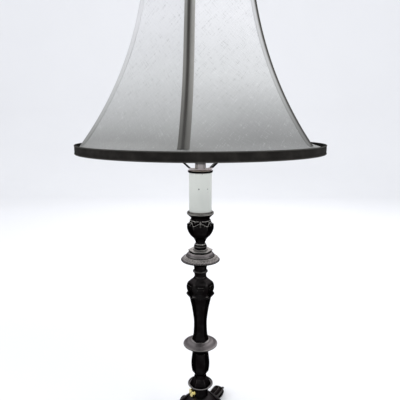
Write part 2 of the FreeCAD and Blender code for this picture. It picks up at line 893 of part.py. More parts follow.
def top_ring_reach():
    return top_ring_radius - top_ring_inset


def make_bottom_ring():
    return ring_wire(bottom_ring_reach(), ring_height)


def make_top_ring():
    return ring_wire(top_ring_reach(), top_ring_z)


def make_rib_wires():
    """Bent wires that join the two rings, notched round them."""
    centre_r, centre_z = rib_centre()
    path = rib_bow + wire_offset()
    low = math.asin((centre_z - ring_height) / path)
    high = math.asin((centre_z - top_ring_z) / path)
    start = Vector(centre_r - path * math.cos(low), 0, ring_height)
    along = Vector(-math.sin(low), 0, math.cos(low))
    disc = Part.Face(Part.Wire(Part.makeCircle(rib_wire_radius, start, along)))
    sweep = math.degrees(low - high)
    wire = disc.revolve(Vector(centre_r, 0, centre_z), Vector(0, 1, 0), sweep)
    rings = [make_bottom_ring(), make_top_ring()]
    return group([spun(wire, angle).cut(rings[0]).cut(rings[1])
                  for angle in around(rib_count, rib_first_angle)])


def make_spider():
    """Three arms from the top ring down to a washer on the harp's stud."""
    washer = rod(spider_washer_radius, washer_z, washer_z + spider_washer_height)
    middle = washer_z + spider_washer_height / 2
    body = washer
    for angle in around(spider_arms, rib_first_angle + 180.0 / rib_count):
        inner = polar(spider_washer_radius - 3.0, angle, middle)
        outer = polar(top_ring_reach(), angle, top_ring_z)
        body = body.fuse(pin(spider_arm_radius, inner, outer))
    return body.cut(rod(pin_hole, washer_z - 5, washer_z + 8)).cut(make_top_ring())


def make_rib_trims():
    """Folded tape over each rib, from the rim band to the top band."""
    low = ring_height + rim_band_height - rim_band_below + 1.5
    high = top_ring_z - top_band_height / 2
    tape = shade_body(low, high, -trim_wall - seat_gap)
    tape = tape.cut(shade_body(ring_height, top_ring_z, -seat_gap))
    tapes = []
    for angle in around(rib_count, rib_first_angle):
        slab = Part.makeBox(ring_radius + cutting_margin, trim_width, shade_drop + 2 * cutting_margin,
                            Vector(0, -trim_width / 2, ring_height - cutting_margin))
        tapes.append(tape.common(spun(slab, angle)))
    return group(tapes)


def make_rim_band():
    low = ring_height - rim_band_below
    inner = ring_radius + seat_gap
    return tube(inner + rim_band_wall, inner, low, low + rim_band_height)


def make_top_band():
    low = top_ring_z - top_band_height / 2
    inner = top_ring_radius + 1.2
    return tube(inner + rim_band_wall, inner, low, low + top_band_height)


def make_finial():
    z = finial_z
    k = finial_height
    r = finial_radius
    neck = finial_neck_radius
    body = turned([
        [(r - 1.0, z), (r, z + 0.05 * k), (r - 0.6, z + 0.1 * k), (neck + 0.8, z + 0.17 * k)],
        [(neck, z + 0.24 * k), (neck + 2.6, z + 0.36 * k), (r - 0.6, z + 0.52 * k),
         (neck + 2.0, z + 0.70 * k), (neck - 1.6, z + 0.84 * k)],
        [(neck - 1.2, z + 0.86 * k), (neck - 0.6, z + 0.92 * k), (0.0, z + k)]], 0.0)
    return body.cut(rod(pin_hole, z - 1, z + finial_socket))


# --------------------------------------------------------------------- build
def build_all():
    nodes = {
        "felt_pads": make_felt_pads(),
        "leg_bolts": make_leg_bolts(),
        "base_hub": make_hub(),
        "base_cover": make_base_cover(),
        "ballast": make_ballast(),
        "base_washer": tube(washer_radius, bore, ballast_z - washer_thickness, ballast_z),
        "base_nut": hex_nut(base_nut_radius, ballast_z - washer_thickness - base_nut_height,
                            base_nut_height, bore),
        "cord_bushing": make_cord_bushing(),
        "centre_pipe": tube(pipe_radius, pipe_bore_radius, pipe_foot, pipe_top),
        "lower_column": make_lower_column(),
        "lock_screw": make_lock_screw(),
        "collar_dish": make_collar_dish(),
        "knop": make_knop(),
        "saucer": make_saucer(),
        "shaft": make_shaft(),
        "vase": make_vase(),
        "neck_ring": make_neck_ring(),
        "drip_plate": make_drip_plate(),
        "round_step": make_round_step(),
        "spacer_ring": make_spacer_ring(),
        "hex_plate": make_hex_plate(),
        "torus_ring": make_torus_ring(),
        "urn_cup": make_urn_cup(),
        "candle_sleeve": make_candle_sleeve(),
        "sleeve_cap": make_sleeve_cap(),
        "harp_saddle": make_harp_saddle(),
        "coupling_nut": hex_nut(coupling_nut_radius, nut_z, coupling_nut_height, bore),
        "harp": make_harp(),
        "harp_top": make_harp_top(),
        "harp_ferrule_right": make_ferrule(1),
        "harp_ferrule_left": make_ferrule(-1),
        "socket_cap": make_socket_cap(),
        "socket_shell": make_socket_shell(),
        "socket_liner": make_socket_liner(),
        "socket_block": make_socket_block(),
        "screw_shell": make_screw_shell(),
        "centre_contact": make_centre_contact(),
        "switch_knob": make_switch_knob(),
        "bulb_base": make_bulb_base(),
        "bulb_glass": make_bulb_glass(),
        "shade_bottom_ring": make_bottom_ring(),
        "shade_top_ring": make_top_ring(),
        "rib_wires": make_rib_wires(),
        "spider": make_spider(),
        "shade_lining": make_shade_lining(),
        "rib_trims": make_rib_trims(),
        "rim_band": make_rim_band(),
        "top_band": make_top_band(),
        "finial": make_finial(),
    }
    for count, angle in enumerate(around(leg_count, leg_first_angle), start=1):
        nodes["leg_%d" % count] = make_leg(angle)
    for count, angle in enumerate(around(rib_count, rib_first_angle), start=1):
        nodes["shade_panel_%d" % count] = make_shade_panel(angle)
    return nodes


def main():
    os.makedirs("parts", exist_ok=True)
    for name, shape in build_all().items():
        shape.exportStep("parts/%s.step" % name)
        print("%-20s solids %d  volume %.1f  valid %s"
              % (name, len(shape.Solids), shape.Volume, shape.isValid()))


if __name__ == "__main__":
    main()
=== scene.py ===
"""Dresses the packed candlestick lamp: patinated castings, candle sleeve, harp, socket and a
six-panel bell shade. Shapes are worked out in millimetres and put into meshes in metres."""

import math

import bmesh
import bpy
import numpy as np
from bpy.props import FloatProperty, FloatVectorProperty, PointerProperty
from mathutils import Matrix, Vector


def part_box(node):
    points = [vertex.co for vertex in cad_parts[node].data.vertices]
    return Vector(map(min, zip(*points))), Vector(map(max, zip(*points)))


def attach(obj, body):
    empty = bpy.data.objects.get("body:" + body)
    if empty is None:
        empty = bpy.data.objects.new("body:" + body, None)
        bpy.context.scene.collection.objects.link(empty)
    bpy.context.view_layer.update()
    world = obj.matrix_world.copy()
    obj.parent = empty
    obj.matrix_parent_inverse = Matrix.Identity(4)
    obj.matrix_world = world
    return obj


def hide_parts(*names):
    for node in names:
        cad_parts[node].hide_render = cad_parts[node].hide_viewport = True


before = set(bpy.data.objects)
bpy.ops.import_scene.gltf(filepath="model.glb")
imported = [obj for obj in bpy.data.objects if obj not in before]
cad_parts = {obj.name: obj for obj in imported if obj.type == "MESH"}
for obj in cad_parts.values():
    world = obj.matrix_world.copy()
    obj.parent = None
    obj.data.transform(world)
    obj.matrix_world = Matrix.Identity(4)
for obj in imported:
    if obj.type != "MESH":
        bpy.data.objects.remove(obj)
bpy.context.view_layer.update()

bl_info = {
    "name": "Candlestick Lamp",
    "version": (1, 0, 0),
    "blender": (4, 5, 0),
    "location": "View3D > Sidebar > Lamp",
    "description": "Builds the looks of a candlestick table lamp around its solids",
    "category": "Add Mesh",
}

MM = 0.001

# The solids' fits that the new skins keep to, in millimetres
BORE = 5.06                   # hole of each stacked piece, round the pipe
RIB_COUNT = 6
RIB_STEP = 360.0 / RIB_COUNT
RIB_FIRST = -95.9             # direction of the rib next to the middle of the front, degrees
RIB_BOW = 461.0               # radius of a rib's curve
HEM_FADE = 7.5                # height in which the round hem turns into flat panels
TOP_FADE = 22.0
FULLNESS = 0.03               # share of the round bulge that a panel keeps all the way
COVER_WALL = 0.8
TOP_RING_INSET = 3.1          # top ring's centre line from the cover's outside
RING_WIRE = 1.8
LINING_INSET = 4.65           # lining's outside from the cover's outside
LINING_WALL = 0.5
LEG_FIRST = 70.0
LEG_COUNT = 3
LEG_STEP = 360.0 / LEG_COUNT
LEG_REACH = 118.0
LEG_ROOT = 28.0
PAD_LIFT = 1.5
PAD_REACH = 107.0
POST_REACH = 34.0             # harp posts from the axis
POST_FOOT = 15.5              # top of the harp strap's ends above its foot
FINIAL_BORE = 3.21
SLEEVE_WALL = 1.4
CAMERA_ASIDE = -0.0006        # metres
FILM_WIDTH = 36.0
HARP_TURN = math.radians(10)  # direction of the harp's right leg
DIAGONAL = 0.7071
FRONT_DRIFT = -3.8            # how far the front tape strays from its rib
PANELS = ["shade_panel_%d" % (k + 1) for k in range(RIB_COUNT)]


# ------------------------------------------------------------------ user settings
def colour(label, about, default):
    return FloatVectorProperty(name=label, description=about, subtype="COLOR", size=3,
                               min=0.0, max=1.0, default=default)


def length(label, about, default):
    return FloatProperty(name=label, description=about, unit="LENGTH", default=default, min=0.0)


def tint(colour, share=1.0):
    """A colour as plain numbers, lighter or darker by a share."""
    return tuple(share * c for c in colour)


class LampMetal(bpy.types.PropertyGroup):
    """Colours and finish of the castings and fittings"""
    patina: colour("Patina", "Dark brown-black of the sides", (0.0042, 0.0032, 0.0033))
    bloom: colour("Bloom", "Cooler tint that clouds the patina", (0.009, 0.0085, 0.0085))
    # Worn grey also serves as the painted highlight on relief that faces up
    worn: colour("Worn", "Grey metal rubbed bare on edges and relief", (0.62, 0.60, 0.56))
    # Painted light: the grey taken by faces that look up, as lit from above
    upward: colour("Upward", "Grey of the faces that look up", (0.44, 0.40, 0.40))
    brass: colour("Brass", "Bright brass of the lock screw and socket", (0.62, 0.52, 0.18))
    pewter: colour("Pewter", "Dull grey of the coupling nut", (0.50, 0.46, 0.46))
    edge: length("Edge", "Rounding of turned edges", 0.00035)


class LampCandle(bpy.types.PropertyGroup):
    """The candle sleeve"""
    cream: colour("Cream", "Sleeve colour at its top", (0.74, 0.76, 0.71))
    foot: colour("Foot", "Sleeve colour near its foot", (0.55, 0.57, 0.53))


class LampShade(bpy.types.PropertyGroup):
    """Fabric, lining and tapes of the shade"""
    # Painted light: the cloth runs from the upper colour through the middle one to the grey lower one
    high: colour("Upper cloth", "Cloth colour at the top", (0.71, 0.71, 0.72))
    middle: colour("Middle cloth", "Cloth colour half way down", (0.565, 0.57, 0.565))
    low: colour("Lower cloth", "Cloth colour above the rim", (0.20, 0.20, 0.19))
    lining: colour("Lining", "Smooth inner cloth", (0.78, 0.78, 0.75))
    tape: colour("Tape", "Grey bands of the rib tapes", (0.20, 0.195, 0.18))
    tape_line: colour("Tape line", "Dark middle line of the rib tapes", (0.030, 0.027, 0.023))
    rim: colour("Rim", "Dark band round the rims", (0.011, 0.010, 0.009))
    tape_width: length("Tape width", "Width of a rib tape", 0.0155)
    thread: length("Thread", "Distance between the cloth's threads", 0.0011)


class LampStage(bpy.types.PropertyGroup):
    """Camera, floor and light"""
    floor: colour("Floor", "Floor and backdrop", (0.80, 0.80, 0.81))
    key: FloatProperty(name="Key", description="Power of the soft key light in watts", default=14.0)
    sky: FloatProperty(name="Sky", description="Strength of the even light all round", default=1.05)
    lens: FloatProperty(name="Lens", description="Camera focal length in millimetres", default=37.8)
    tilt: FloatProperty(name="Tilt", description="Camera tilt below level in degrees", default=10.5)
    distance: length("Distance", "Camera in front of the lamp's axis", 0.620)
    height: length("Height", "Camera above the floor", 0.507)


# ------------------------------------------------------------------------- curves
def smooth(points, count):
    """Points (n, 2) joined by cubic pieces whose slope at each point is the slope between
    its neighbours; sampled evenly in chord length."""
    points = np.asarray(points, float)
    if len(points) < 3:
        share = np.linspace(0, 1, count)[:, None]
        return points[0] * (1 - share) + points[-1] * share
    step = np.linalg.norm(np.diff(points, axis=0), axis=1)
    at = np.concatenate([[0], np.cumsum(step)])
    slope = np.gradient(points, at, axis=0, edge_order=2)
    where = np.linspace(0, at[-1], count)
    k = np.clip(np.searchsorted(at, where, side="right") - 1, 0, len(step) - 1)
    h = step[k][:, None]
    t = ((where - at[k]) / step[k])[:, None]
    return ((2 * t**3 - 3 * t**2 + 1) * points[k] + (t**3 - 2 * t**2 + t) * h * slope[k]
            + (3 * t**2 - 2 * t**3) * points[k + 1] + (t**3 - t**2) * h * slope[k + 1])


def outline(runs, spacing):
    """One (r, z) line through several smooth runs; each run after the first starts where the
    one before it ends, with a corner there."""
    parts, last = [], []
    for run in runs:
        run = last + list(run)
        span = np.linalg.norm(np.diff(np.asarray(run, float), axis=0), axis=1).sum()
        part = smooth(run, max(2, int(span / spacing) + 1 + 2 * (len(run) > 2)))
        parts.append(part[1:] if last else part)
        last = [run[-1]]
    return np.vstack(parts)


def extent(node):
    """(foot, top, radius) of an upright solid, in millimetres."""
    low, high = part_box(node)
    return low.z / MM, high.z / MM, max(high.x, high.y) / MM


def hexagon(theta, worn):
    """Share of the corner radius at each direction: straight sides between corners at
    0, 60, ... degrees, with corners rounded over a few degrees."""
    eased = np.minimum(np.sqrt(six_sided(theta)[0]**2 + worn**2), 30)
    return math.cos(math.radians(30 - worn)) / np.cos(np.radians(30 - eased))


def six_sided(theta):
    """Degrees from the nearest corner, and from the middle of the nearest face."""
    return (np.degrees(theta) + 30) % 60 - 30, np.degrees(theta) % 60 - 30


def bump(x, centre, width):
    """Bell curve of height 1."""
    return np.exp(-((x - centre) / width) ** 2)


def heights(foot, top):
    """Gives the height at a share of the way from foot to top."""
    return lambda share: foot + share * (top - foot)


def round_axis(r, turn, z):
    """Points at a distance and direction from the upright axis."""
    return np.stack([r * np.cos(turn), r * np.sin(turn), z + 0 * turn], 2)


def swung(out, aside, z, turn):
    """Points out along one direction from the axis and sideways of it; the first and the
    last loop are closed by their middle."""
    points = np.stack([out * math.cos(turn) - aside * math.sin(turn),
                       out * math.sin(turn) + aside * math.cos(turn), z], 2)
    ends = points[[0, -1]].mean(1, keepdims=True) + 0 * points[[0, -1]]
    return np.concatenate([ends[:1], points, ends[1:]], 0)


# ------------------------------------------------------------------------- meshes
def quads(rows, columns, wrap_rows, wrap_columns):
    """Corner numbers of the faces of a grid of rows x columns points."""
    i = np.arange(rows if wrap_rows else rows - 1)
    j = np.arange(columns if wrap_columns else columns - 1)
    i, j = [a.ravel() for a in np.meshgrid(i, j, indexing="ij")]
    i2, j2 = (i + 1) % rows, (j + 1) % columns
    return np.stack([i * columns + j, i2 * columns + j, i2 * columns + j2, i * columns + j2], 1)


def mesh_object(name, points, faces, uv=None):
    """Mesh from points in millimetres and quads, doubles merged, faces turned outwards."""
    mesh = bpy.data.meshes.new(name)
    mesh.from_pydata((points * MM).tolist(), [], faces.tolist())
    if uv is not None:
        layer = mesh.uv_layers.new(name="UVMap")
        corners = np.zeros(len(mesh.loops), np.int32)
        mesh.loops.foreach_get("vertex_index", corners)
        layer.data.foreach_set("uv", (uv[corners] * MM).astype(np.float32).ravel())
    work = bmesh.new()
    work.from_mesh(mesh)
    bmesh.ops.remove_doubles(work, verts=work.verts, dist=1e-6)
    bmesh.ops.recalc_face_normals(work, faces=work.faces)
    work.to_mesh(mesh)
    work.free()
    mesh.shade_smooth()
    made = bpy.data.objects.new(name, mesh)
    bpy.context.scene.collection.objects.link(made)
    return made


def grid_object(name, points, wrap_rows=False, wrap_columns=False, uv=None):
    """Surface over a grid (rows, columns, 3) of points in millimetres."""
    faces = quads(*points.shape[:2], wrap_rows, wrap_columns)
    made = mesh_object(name, points.reshape(-1, 3), faces, None if uv is None else uv.reshape(-1, 2))
    mark_wear(made.data)
    return made


def mark_wear(mesh):
    """Keeps on each point how far it stands out of the mean of its neighbours along the
    outward normal, in millimetres: above 0 on raised edges, below 0 in hollows."""
    count = len(mesh.vertices)
    co, no = np.zeros(count * 3, np.float32), np.zeros(count * 3, np.float32)
    mesh.vertices.foreach_get("co", co)
    mesh.vertex_normals.foreach_get("vector", no)
    co, no = co.reshape(-1, 3), no.reshape(-1, 3)
    ends = np.zeros(len(mesh.edges) * 2, np.int32)
    mesh.edges.foreach_get("vertices", ends)
    a, b = ends.reshape(-1, 2).T
    total, number = np.zeros((count, 3)), np.zeros(count)
    for one, other in ((a, b), (b, a)):
        np.add.at(total, one, co[other])
        np.add.at(number, one, 1)
    mean = total / np.maximum(number, 1)[:, None]
    stands = ((co - mean) * no).sum(1) / MM
    mesh.attributes.new("wear", "FLOAT", "POINT").data.foreach_set("value", stands.astype(np.float32))


def revolved(name, runs, hole=BORE, columns=144, shape=None, spacing=0.8):
    """Surface of revolution: the (r, z) outline goes round the axis and back down a hole.
    shape(theta, z, r) may change the radius of the outer line."""
    outer = outline(runs, spacing)
    theta = np.linspace(0, 2 * np.pi, columns, endpoint=False)[None, :]
    r, z = outer[:, :1] + 0 * theta, outer[:, 1:] + 0 * theta
    if shape is not None:
        r, z = shape(theta + 0 * r, z, r)
    if hole:
        back = np.array([[hole, outer[-1, 1]], [hole, outer[0, 1]]])
        r = np.vstack([r, back[:, :1] + 0 * theta])
        z = np.vstack([z, back[:, 1:] + 0 * theta])
    return grid_object(name, round_axis(r, theta, z), wrap_rows=bool(hole), wrap_columns=True)


def soften(made, width, angle=35):
    """Rounds the sharp edges of a finished piece."""
    bevel = made.modifiers.new("edge", "BEVEL")
    bevel.width = width
    bevel.segments = 2
    bevel.limit_method = "ANGLE"
    bevel.angle_limit = math.radians(angle)
    bevel.harden_normals = True
    return made


def shift(made, x, y):
    """Moves a piece's points sideways, in millimetres, leaving its origin where it is."""
    made.data.transform(Matrix.Translation((x * MM, y * MM, 0.0)))


def place(made, body, slot, material, *nodes):
    """Paints a new piece, lets it ride on its body and stand for its solids."""
    made.data.materials.clear()
    made.data.materials.append(material)
    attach(made, body)
    if nodes:
        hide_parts(*nodes)


def repaint(material, *nodes):
    """Gives solids that stay in view a procedural material."""
    for node in nodes:
        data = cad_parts[node].data
        data.materials.clear()
        data.materials.append(material)


# ---------------------------------------------------------------------- materials
def arithmetic(operation, reflected=False):
    """One of Python's operators as a math node, with its two sides swapped if reflected."""
    def apply(self, other):
        left, right = (other, self) if reflected else (self, other)
        return self.paint.node("ShaderNodeMath", {"operation": operation}, {0: left, 1: right})
    return apply


class Value:
    """A node's output, written with Python's own arithmetic."""

    def __init__(self, paint, socket):
        self.paint, self.socket = paint, socket

    __add__, __radd__ = arithmetic("ADD"), arithmetic("ADD", True)
    __sub__, __rsub__ = arithmetic("SUBTRACT"), arithmetic("SUBTRACT", True)
    __mul__, __rmul__ = arithmetic("MULTIPLY"), arithmetic("MULTIPLY", True)
    __truediv__, __rtruediv__ = arithmetic("DIVIDE"), arithmetic("DIVIDE", True)


class Paint:
    """One procedural material: a Principled shader and the nodes that vary it."""

    def __init__(self, name, **uniform):
        self.material = bpy.data.materials.new(name)
        self.material.use_nodes = True
        self.tree = self.material.node_tree
        self.tree.nodes.clear()
        self.shader = self.tree.nodes.new("ShaderNodeBsdfPrincipled")
        out = self.tree.nodes.new("ShaderNodeOutputMaterial")
        self.tree.links.new(self.shader.outputs[0], out.inputs[0])
        for key, value in uniform.items():
            self.feed(self.shader.inputs[key.replace("_", " ")], value)

    def node(self, kind, settings, inputs, output=0):
        """Any node: its settings first, then the values or links of its sockets."""
        made = self.tree.nodes.new(kind)
        for key, value in settings.items():
            if key == "stops":
                for _ in value[2:]:
                    made.color_ramp.elements.new(0.5)
                for element, (at, shade) in zip(made.color_ramp.elements, value):
                    element.position = at
                    element.color = (*shade, 1.0)
            else:
                setattr(made, key, value)
        for key, value in inputs.items():
            self.feed(made.inputs[key], value)
        return Value(self, made.outputs[output])

    def feed(self, socket, value):
        """Links a node's output to a socket, or sets a plain number, vector or colour."""
        if isinstance(value, Value):
            self.tree.links.new(value.socket, socket)
        elif hasattr(value, "__len__") and len(value) == 3 and socket.type == "RGBA":
            socket.default_value = (*value, 1.0)
        else:
            socket.default_value = value

    def vary(self, **inputs):
        """Links what changes over the surface to the shader."""
        for key, value in inputs.items():
            self.feed(self.shader.inputs[key.replace("_", " ")], value)
        return self.material

    def where(self):
        """The point in the object's own frame, in metres."""
        return self.node("ShaderNodeTexCoord", {}, {}, "Object")

    def cloth_place(self):
        """The point on a cloth's own map, in metres across and along it."""
        return self.node("ShaderNodeUVMap", {"uv_map": "UVMap"}, {})

    def cloth_axes(self):
        place = self.cloth_place()
        return self.axis(place, "X"), self.axis(place, "Y")

    def axis(self, vector, name):
        return self.node("ShaderNodeSeparateXYZ", {}, {0: vector}, name)

    def upward(self):
        """1 on faces that look up, 0 on upright ones, below 0 on undersides."""
        return self.axis(self.node("ShaderNodeNewGeometry", {}, {}, "Normal"), "Z")

    def distance(self, vector):
        """Distance of a point from the upright axis."""
        level = self.scaled(vector, (1.0, 1.0, 0.0))
        return self.node("ShaderNodeVectorMath", {"operation": "LENGTH"}, {0: level}, "Value")

    def wear(self):
        """How far the surface stands out of what is round it, in millimetres."""
        return self.node("ShaderNodeAttribute", {"attribute_name": "wear"}, {}, "Fac")

    def scaled(self, vector, factors):
        return self.node("ShaderNodeVectorMath", {"operation": "MULTIPLY"}, {0: vector, 1: factors})

    def single(self, operation, value):
        """Maths on one number."""
        return self.node("ShaderNodeMath", {"operation": operation}, {0: value})

    def ribbed(self, value, pitch):
        """A wave with one crest in each pitch."""
        return self.single("SINE", value * (2 * math.pi / pitch))

    def between(self, value, low, high):
        """0 at low, 1 at high, straight between."""
        return self.node("ShaderNodeMapRange", {}, {"Value": value, "From Min": low, "From Max": high})

    def noise(self, vector, scale, detail=3.0, rough=0.5):
        return self.node("ShaderNodeTexNoise", {}, {"Vector": vector, "Scale": scale, "Detail": detail,
                                                    "Roughness": rough})

    def ease(self, value, low, high):
        """0 below low, 1 above high, smooth between."""
        return self.node("ShaderNodeMapRange", {"interpolation_type": "SMOOTHSTEP"},
                         {"Value": value, "From Min": low, "From Max": high})

    def ramp(self, value, stops):
        return self.node("ShaderNodeValToRGB", {"stops": stops}, {"Fac": value})

    def mix(self, share, first, second):
        return self.node("ShaderNodeMix", {"data_type": "RGBA"}, {0: share, 6: first, 7: second}, 2)

    def relief(self, height, distance, strength):
        inputs = {"Height": height, "Distance": distance, "Strength": strength}
        return self.node("ShaderNodeBump", {}, inputs)


def paint_bronze(look, name, upward, worn=0.18, inner=0.0, above=0.0, painted_hollow_shade=0.5, shine=1.0,
                 metallic=1.0):
    """Dark patina, clouded by a cooler bloom. Painted light makes it grey by the share `upward`
    where a face looks up, outside the radius `inner` and over the height `above`, lighter by
    `shine`; inside that radius it stays dark as painted shade where the next piece stands on it.
    Rubbed bare by the share `worn` on raised relief, painted as a highlight where that relief
    faces up; painted shade makes hollows nearly black by its own share; fine casting grain in
    the relief."""
    p = Paint(name, Metallic=metallic, Specular_Tint=(0.35, 0.34, 0.34))
    where = p.where()
    cloud = p.noise(where, 90.0, 4.0, 0.6)
    grain = p.noise(where, 1400.0, 3.0, 0.6)
    up = p.upward()
    # Rubbed relief lightens only where it faces up: wear painted as a highlight of light from above
    stands = p.ease(p.wear() * (0.6 + 0.8 * cloud), 0.010, 0.07) * p.ease(up, -0.15, 0.35)
    # Painted shade: hollows darken to near-black patina
    hollow = p.ease(p.wear(), -0.012, -0.08)
    # Painted light: faces that look up turn grey, as lit from above
    painted_top_light = p.ease(up + 0.25 * (cloud - 0.5), 0.45, 0.95) * upward
    # Painted light kept outside the radius `inner` and over the height `above`: painted shade where the next
    # piece stands on this one
    if inner:
        painted_top_light = painted_top_light * p.ease(p.distance(where), inner * MM, (inner + 0.8) * MM)
    if above:
        painted_top_light = painted_top_light * p.ease(p.axis(where, "Z"), above * MM, (above + 0.4) * MM)
    base = p.mix(p.ease(cloud, 0.35, 0.7), tint(look.patina), tint(look.bloom))
    base = p.mix(painted_top_light, base, tint(look.upward, shine))
    base = p.mix(stands * worn, base, tint(look.worn))
    base = p.mix(hollow * painted_hollow_shade, base, tint(look.patina, 0.4))
    rough = 0.30 + 0.16 * grain + 0.14 * painted_top_light
    height = 0.5 * cloud + 0.5 * grain
    return p.vary(Base_Color=base, Roughness=rough, Normal=p.relief(height, 0.00025, 0.5))


def paint_metal(name, tone, metallic, rough):
    """Plain metal with faint clouding of its tint and gloss."""
    p = Paint(name, Metallic=metallic)
    where = p.where()
    cloud = p.noise(where, 70.0)
    grain = p.noise(where, 600.0, 2.0)
    shade = p.mix(cloud, tint(tone, 0.8), tuple(min(1.0, c) for c in tint(tone, 1.12)))
    return p.vary(Base_Color=shade, Roughness=rough + 0.12 * grain, Normal=p.relief(grain, 0.0001, 0.3))


def paint_pewter(look, top):
    """Dull pewter, darkened by painted shade towards the nut's upper edge, under the pieces above it."""
    p = Paint("dull_pewter", Metallic=0.55)
    where = p.where()
    grain = p.noise(where, 600.0, 3.0)
    # Painted shade: the nut darkens towards its upper edge
    painted_top_shade = p.ease(p.axis(where, "Z"), (top - 5.5) * MM, (top - 1.5) * MM)
    base = p.mix(0.3 * grain, tint(look.pewter), tint(look.pewter, 0.7))
    base = p.mix(0.88 * painted_top_shade, base, tint(look.pewter, 0.08))
    return p.vary(Base_Color=base, Roughness=0.5 + 0.1 * grain)


def paint_plastic(name, tone, rough):
    """Moulded plastic: even colour, slightly uneven gloss."""
    p = Paint(name)
    where = p.where()
    fine = p.noise(where, 900.0, 2.0)
    shade = p.mix(p.noise(where, 60.0), tint(tone, 0.9), tone)
    return p.vary(Base_Color=shade, Roughness=rough + 0.1 * fine, Normal=p.relief(fine, 0.00008, 0.3))


def paint_candle(look, foot, top):
    """Cream sleeve, greyer towards its foot, with a few dark specks."""
    p = Paint("candle_cream")
    where = p.where()
    rise = p.ease(p.axis(where, "Z"), foot * MM, top * MM)
    shade = p.mix(rise, tint(look.foot), tint(look.cream))
    streak = p.noise(p.scaled(where, (1.0, 1.0, 0.15)), 160.0, 4.0)
    shade = p.mix(0.10 * streak, shade, (0.42, 0.43, 0.40))
    speck = p.ease(p.noise(where, 260.0, 1.0, 0.3), 0.765, 0.80)
    shade = p.mix(0.85 * speck, shade, (0.09, 0.08, 0.06))
    for spot, size in (((-2.3, -16.8, 410.9), 1.4), ((10.6, -13.3, 410.6), 1.0)):
        away = p.node("ShaderNodeVectorMath", {"operation": "DISTANCE"}, {0: where, 1: tint(spot, MM)},
                      "Value")
        shade = p.mix(0.85 * p.ease(away, size * MM, 0.5 * size * MM), shade, (0.02, 0.02, 0.015))
    grain = p.noise(where, 700.0, 3.0)
    return p.vary(Base_Color=shade, Roughness=0.46 + 0.1 * grain, Normal=p.relief(grain, 0.0001, 0.35))


def cloth_tone(p, look, low, high):
    """The cloth's colour by height, as painted light: pale at the top, shaded to grey above the rim,
    and there darker still towards the right as painted shade."""
    where = p.where()
    z = p.axis(where, "Z")
    # Painted shade: darker towards the right just above the rim
    painted_right_shade = p.ease(p.axis(where, "X"), -0.03, 0.08) * p.ease(z, 0.57, 0.48)
    halfway = tuple(0.5 * (a + b) for a, b in zip(look.low, look.middle))
    tone = p.ramp(p.between(z, low * MM, high * MM), [
        (0.0, tint(look.low)), (0.15, halfway), (0.34, tint(look.middle)), (0.62, tint(look.high))])
    return p.mix(0.52 * painted_right_shade, tone, tint(look.middle, 0.3))


def paint_shade(look, low, high):
    """Slubbed cloth cut on the bias: two sets of threads at 45 degrees, thick and thin, with
    painted light fading the colour from pale at the top to grey above the rim."""
    p = Paint("shade_cloth", Sheen_Weight=0.25, Sheen_Roughness=0.5)
    across, up = p.cloth_axes()
    one, two = (across + up) * DIAGONAL, (across - up) * DIAGONAL

    def threads(along, over, seed):
        """A fine wave of even threads under long, uneven slubs."""
        rows = p.ribbed(over, look.thread)
        put = p.node("ShaderNodeCombineXYZ", {}, {0: along * 75.0, 1: over * (0.80 / look.thread), 2: seed})
        slub = p.noise(put, 1.0, 3.0, 0.6)
        return 0.35 * rows + 1.6 * (slub - 0.5), slub

    first, slub_one = threads(one, two, 0.3)
    second, slub_two = threads(two, one, 7.9)
    rise = p.ease(p.axis(p.where(), "Z"), low * MM, high * MM)
    shade = cloth_tone(p, look, low, high)
    lumps = (slub_one + slub_two) - 1.0
    dark = p.ease(lumps, -0.05, -0.34) * 0.42
    light = p.ease(lumps, 0.08, 0.40) * 0.26
    shade = p.mix(dark, shade, (0.24, 0.24, 0.23))
    shade = p.mix(light, shade, (0.90, 0.90, 0.90))
    return p.vary(Base_Color=shade, Roughness=0.82 + 0.1 * rise,
                  Normal=p.relief(first + second, 0.00026, 0.8))


def paint_lining(look):
    """Smooth white lining with a fine straight weave."""
    p = Paint("lining_cloth", Sheen_Weight=0.15)
    weave = p.noise(p.scaled(p.cloth_place(), (2200.0, 260.0, 1.0)), 1.0, 2.0)
    cloud = p.noise(p.where(), 25.0)
    shade = p.mix(0.25 * cloud, tint(look.lining), (0.70, 0.69, 0.64))
    return p.vary(Base_Color=shade, Roughness=0.8 + 0.1 * weave, Normal=p.relief(weave, 0.00015, 0.5))


